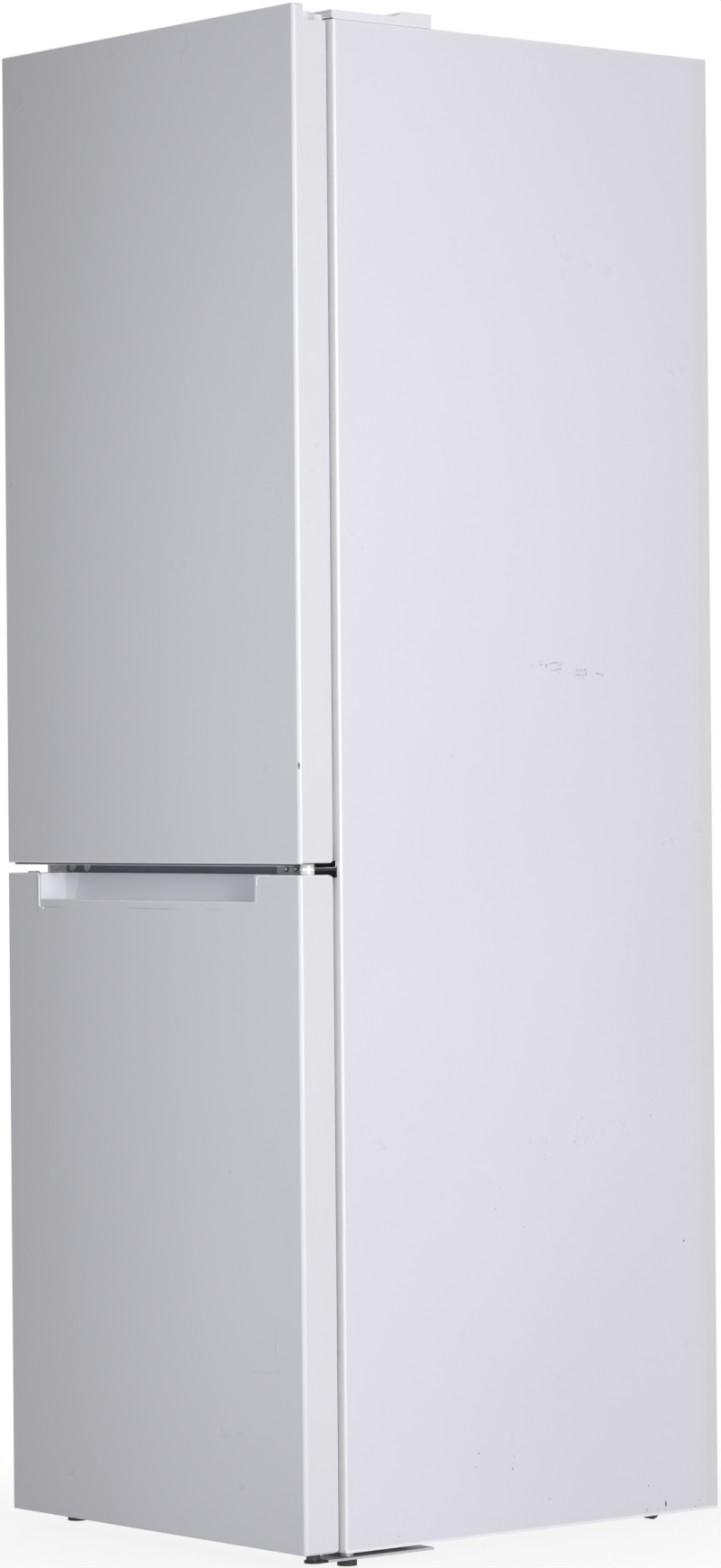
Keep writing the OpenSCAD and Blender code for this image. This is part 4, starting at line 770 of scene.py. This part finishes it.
KEY_AT, KEY_AIM = (3.7, -1.3, 1.3), (0.2, -0.1, 0.93)
FRONT_AT, FRONT_AIM = (0.22, -1.4, 0.95), (0.22, 0.0, 0.95)
BACK_AT, BACK_AIM = (-3.0, 3.2, 1.5), (-0.1, 0.1, 0.93)
TOP_AT, TOP_AIM = (0.3, 0.1, 4.2), (0.3, 0.1, 0.0)
COOL = (0.93, 0.95, 1.0)
area_light("key_light", KEY_AT, KEY_AIM, 1.2, 2.4, KEY_POWER)
front_light = area_light("front_light", FRONT_AT, FRONT_AIM, 0.5, 2.1, FRONT_POWER, COOL)
front_light.data.spread = math.radians(FRONT_SPREAD)
area_light("back_light", BACK_AT, BACK_AIM, 1.6, 2.4, BACK_POWER)
area_light("top_light", TOP_AT, TOP_AIM, 2.6, 2.6, TOP_POWER)

# A lamp in the mouth of each liner lights the compartment, and only that, when its door is open
MOUTH_BACK = 0.012
MOUTH_SIDES, MOUTH_ENDS = 0.03, 0.04
for name in ("fridge_liner", "freezer_liner"):
    low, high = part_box(name)
    mid, mouth = (low + high) / 2, low.y + MOUTH_BACK
    width, height = high.x - low.x - MOUTH_SIDES, high.z - low.z - MOUTH_ENDS
    power = math.pi * width * height * INSIDE_LEVEL
    area_light(name + "_light", (mid.x, mouth, mid.z), (mid.x, high.y, mid.z), width, height, power)


def seen_ray(tree, *kinds):
    """1 for a ray of one of these kinds and 0 for every other ray."""
    rays = tree.nodes.new("ShaderNodeLightPath").outputs
    seen = rays[kinds[0]]
    for kind in kinds[1:]:
        seen = add_node(tree, "ShaderNodeMath", {0: seen, 1: rays[kind]}, operation="MAXIMUM").outputs[0]
    return seen


# World: a dim sky that looks white to the camera, in reflections and through glass
WHITE = (1.0, 1.0, 1.0, 1.0)
world = bpy.data.worlds.new("studio")
bpy.context.scene.world = world
world.use_nodes = True
tree = world.node_tree
background = next(n for n in tree.nodes if n.type == "BACKGROUND")
seen = seen_ray(tree, "Is Camera Ray", "Is Glossy Ray", "Is Transmission Ray")
dim = (AMBIENT, AMBIENT, AMBIENT * 1.02, 1.0)
sky = add_node(tree, "ShaderNodeMix", {0: seen, 6: dim, 7: WHITE}, data_type="RGBA")
tree.links.new(sky.outputs[2], background.inputs["Color"])
background.inputs["Strength"].default_value = 1.0

# Floor: white to the camera from SHADE_END on, with the object's shadow kept under and round it
FLOOR_R = 14.0
FLOOR_Z = -0.0004
SHADE_START, SHADE_END = 0.40, 0.85
SHADE_GLOW = 0.86
bm = bmesh.new()
bmesh.ops.create_circle(bm, cap_ends=True, radius=FLOOR_R, segments=64)
floor_mesh = bpy.data.meshes.new("studio_floor")
bm.to_mesh(floor_mesh)
bm.free()
floor = bpy.data.objects.new("studio_floor", floor_mesh)
bpy.context.scene.collection.objects.link(floor)
floor.location = (0.0, 0.0, FLOOR_Z)
floor_mat = bpy.data.materials.new("studio_floor")
floor_mat.use_nodes = True
tree = floor_mat.node_tree
for n in list(tree.nodes):
    if n.type == "BSDF_PRINCIPLED":
        tree.nodes.remove(n)
matte = add_node(tree, "ShaderNodeBsdfDiffuse", {"Color": (0.8, 0.8, 0.8)}).outputs[0]
glow = add_node(tree, "ShaderNodeEmission", {"Color": WHITE}).outputs[0]
place = tree.nodes.new("ShaderNodeTexCoord").outputs["Object"]
far = add_node(tree, "ShaderNodeVectorMath", {0: place}, operation="LENGTH").outputs["Value"]
level = add_node(tree, "ShaderNodeMapRange", {"Value": far, "From Min": SHADE_START, "From Max": SHADE_END,
                                              "To Min": SHADE_GLOW, "To Max": 1.0}).outputs["Result"]
seen = seen_ray(tree, "Is Camera Ray", "Is Glossy Ray")
fac = add_node(tree, "ShaderNodeMath", {0: level, 1: seen}, operation="MULTIPLY").outputs[0]
blend = add_node(tree, "ShaderNodeMixShader", {"Fac": fac, 1: matte, 2: glow}).outputs[0]
surface = next(n for n in tree.nodes if n.type == "OUTPUT_MATERIAL").inputs["Surface"]
tree.links.new(blend, surface)
floor_mesh.materials.append(floor_mat)

bpy.context.scene.view_settings.view_transform = "Standard"
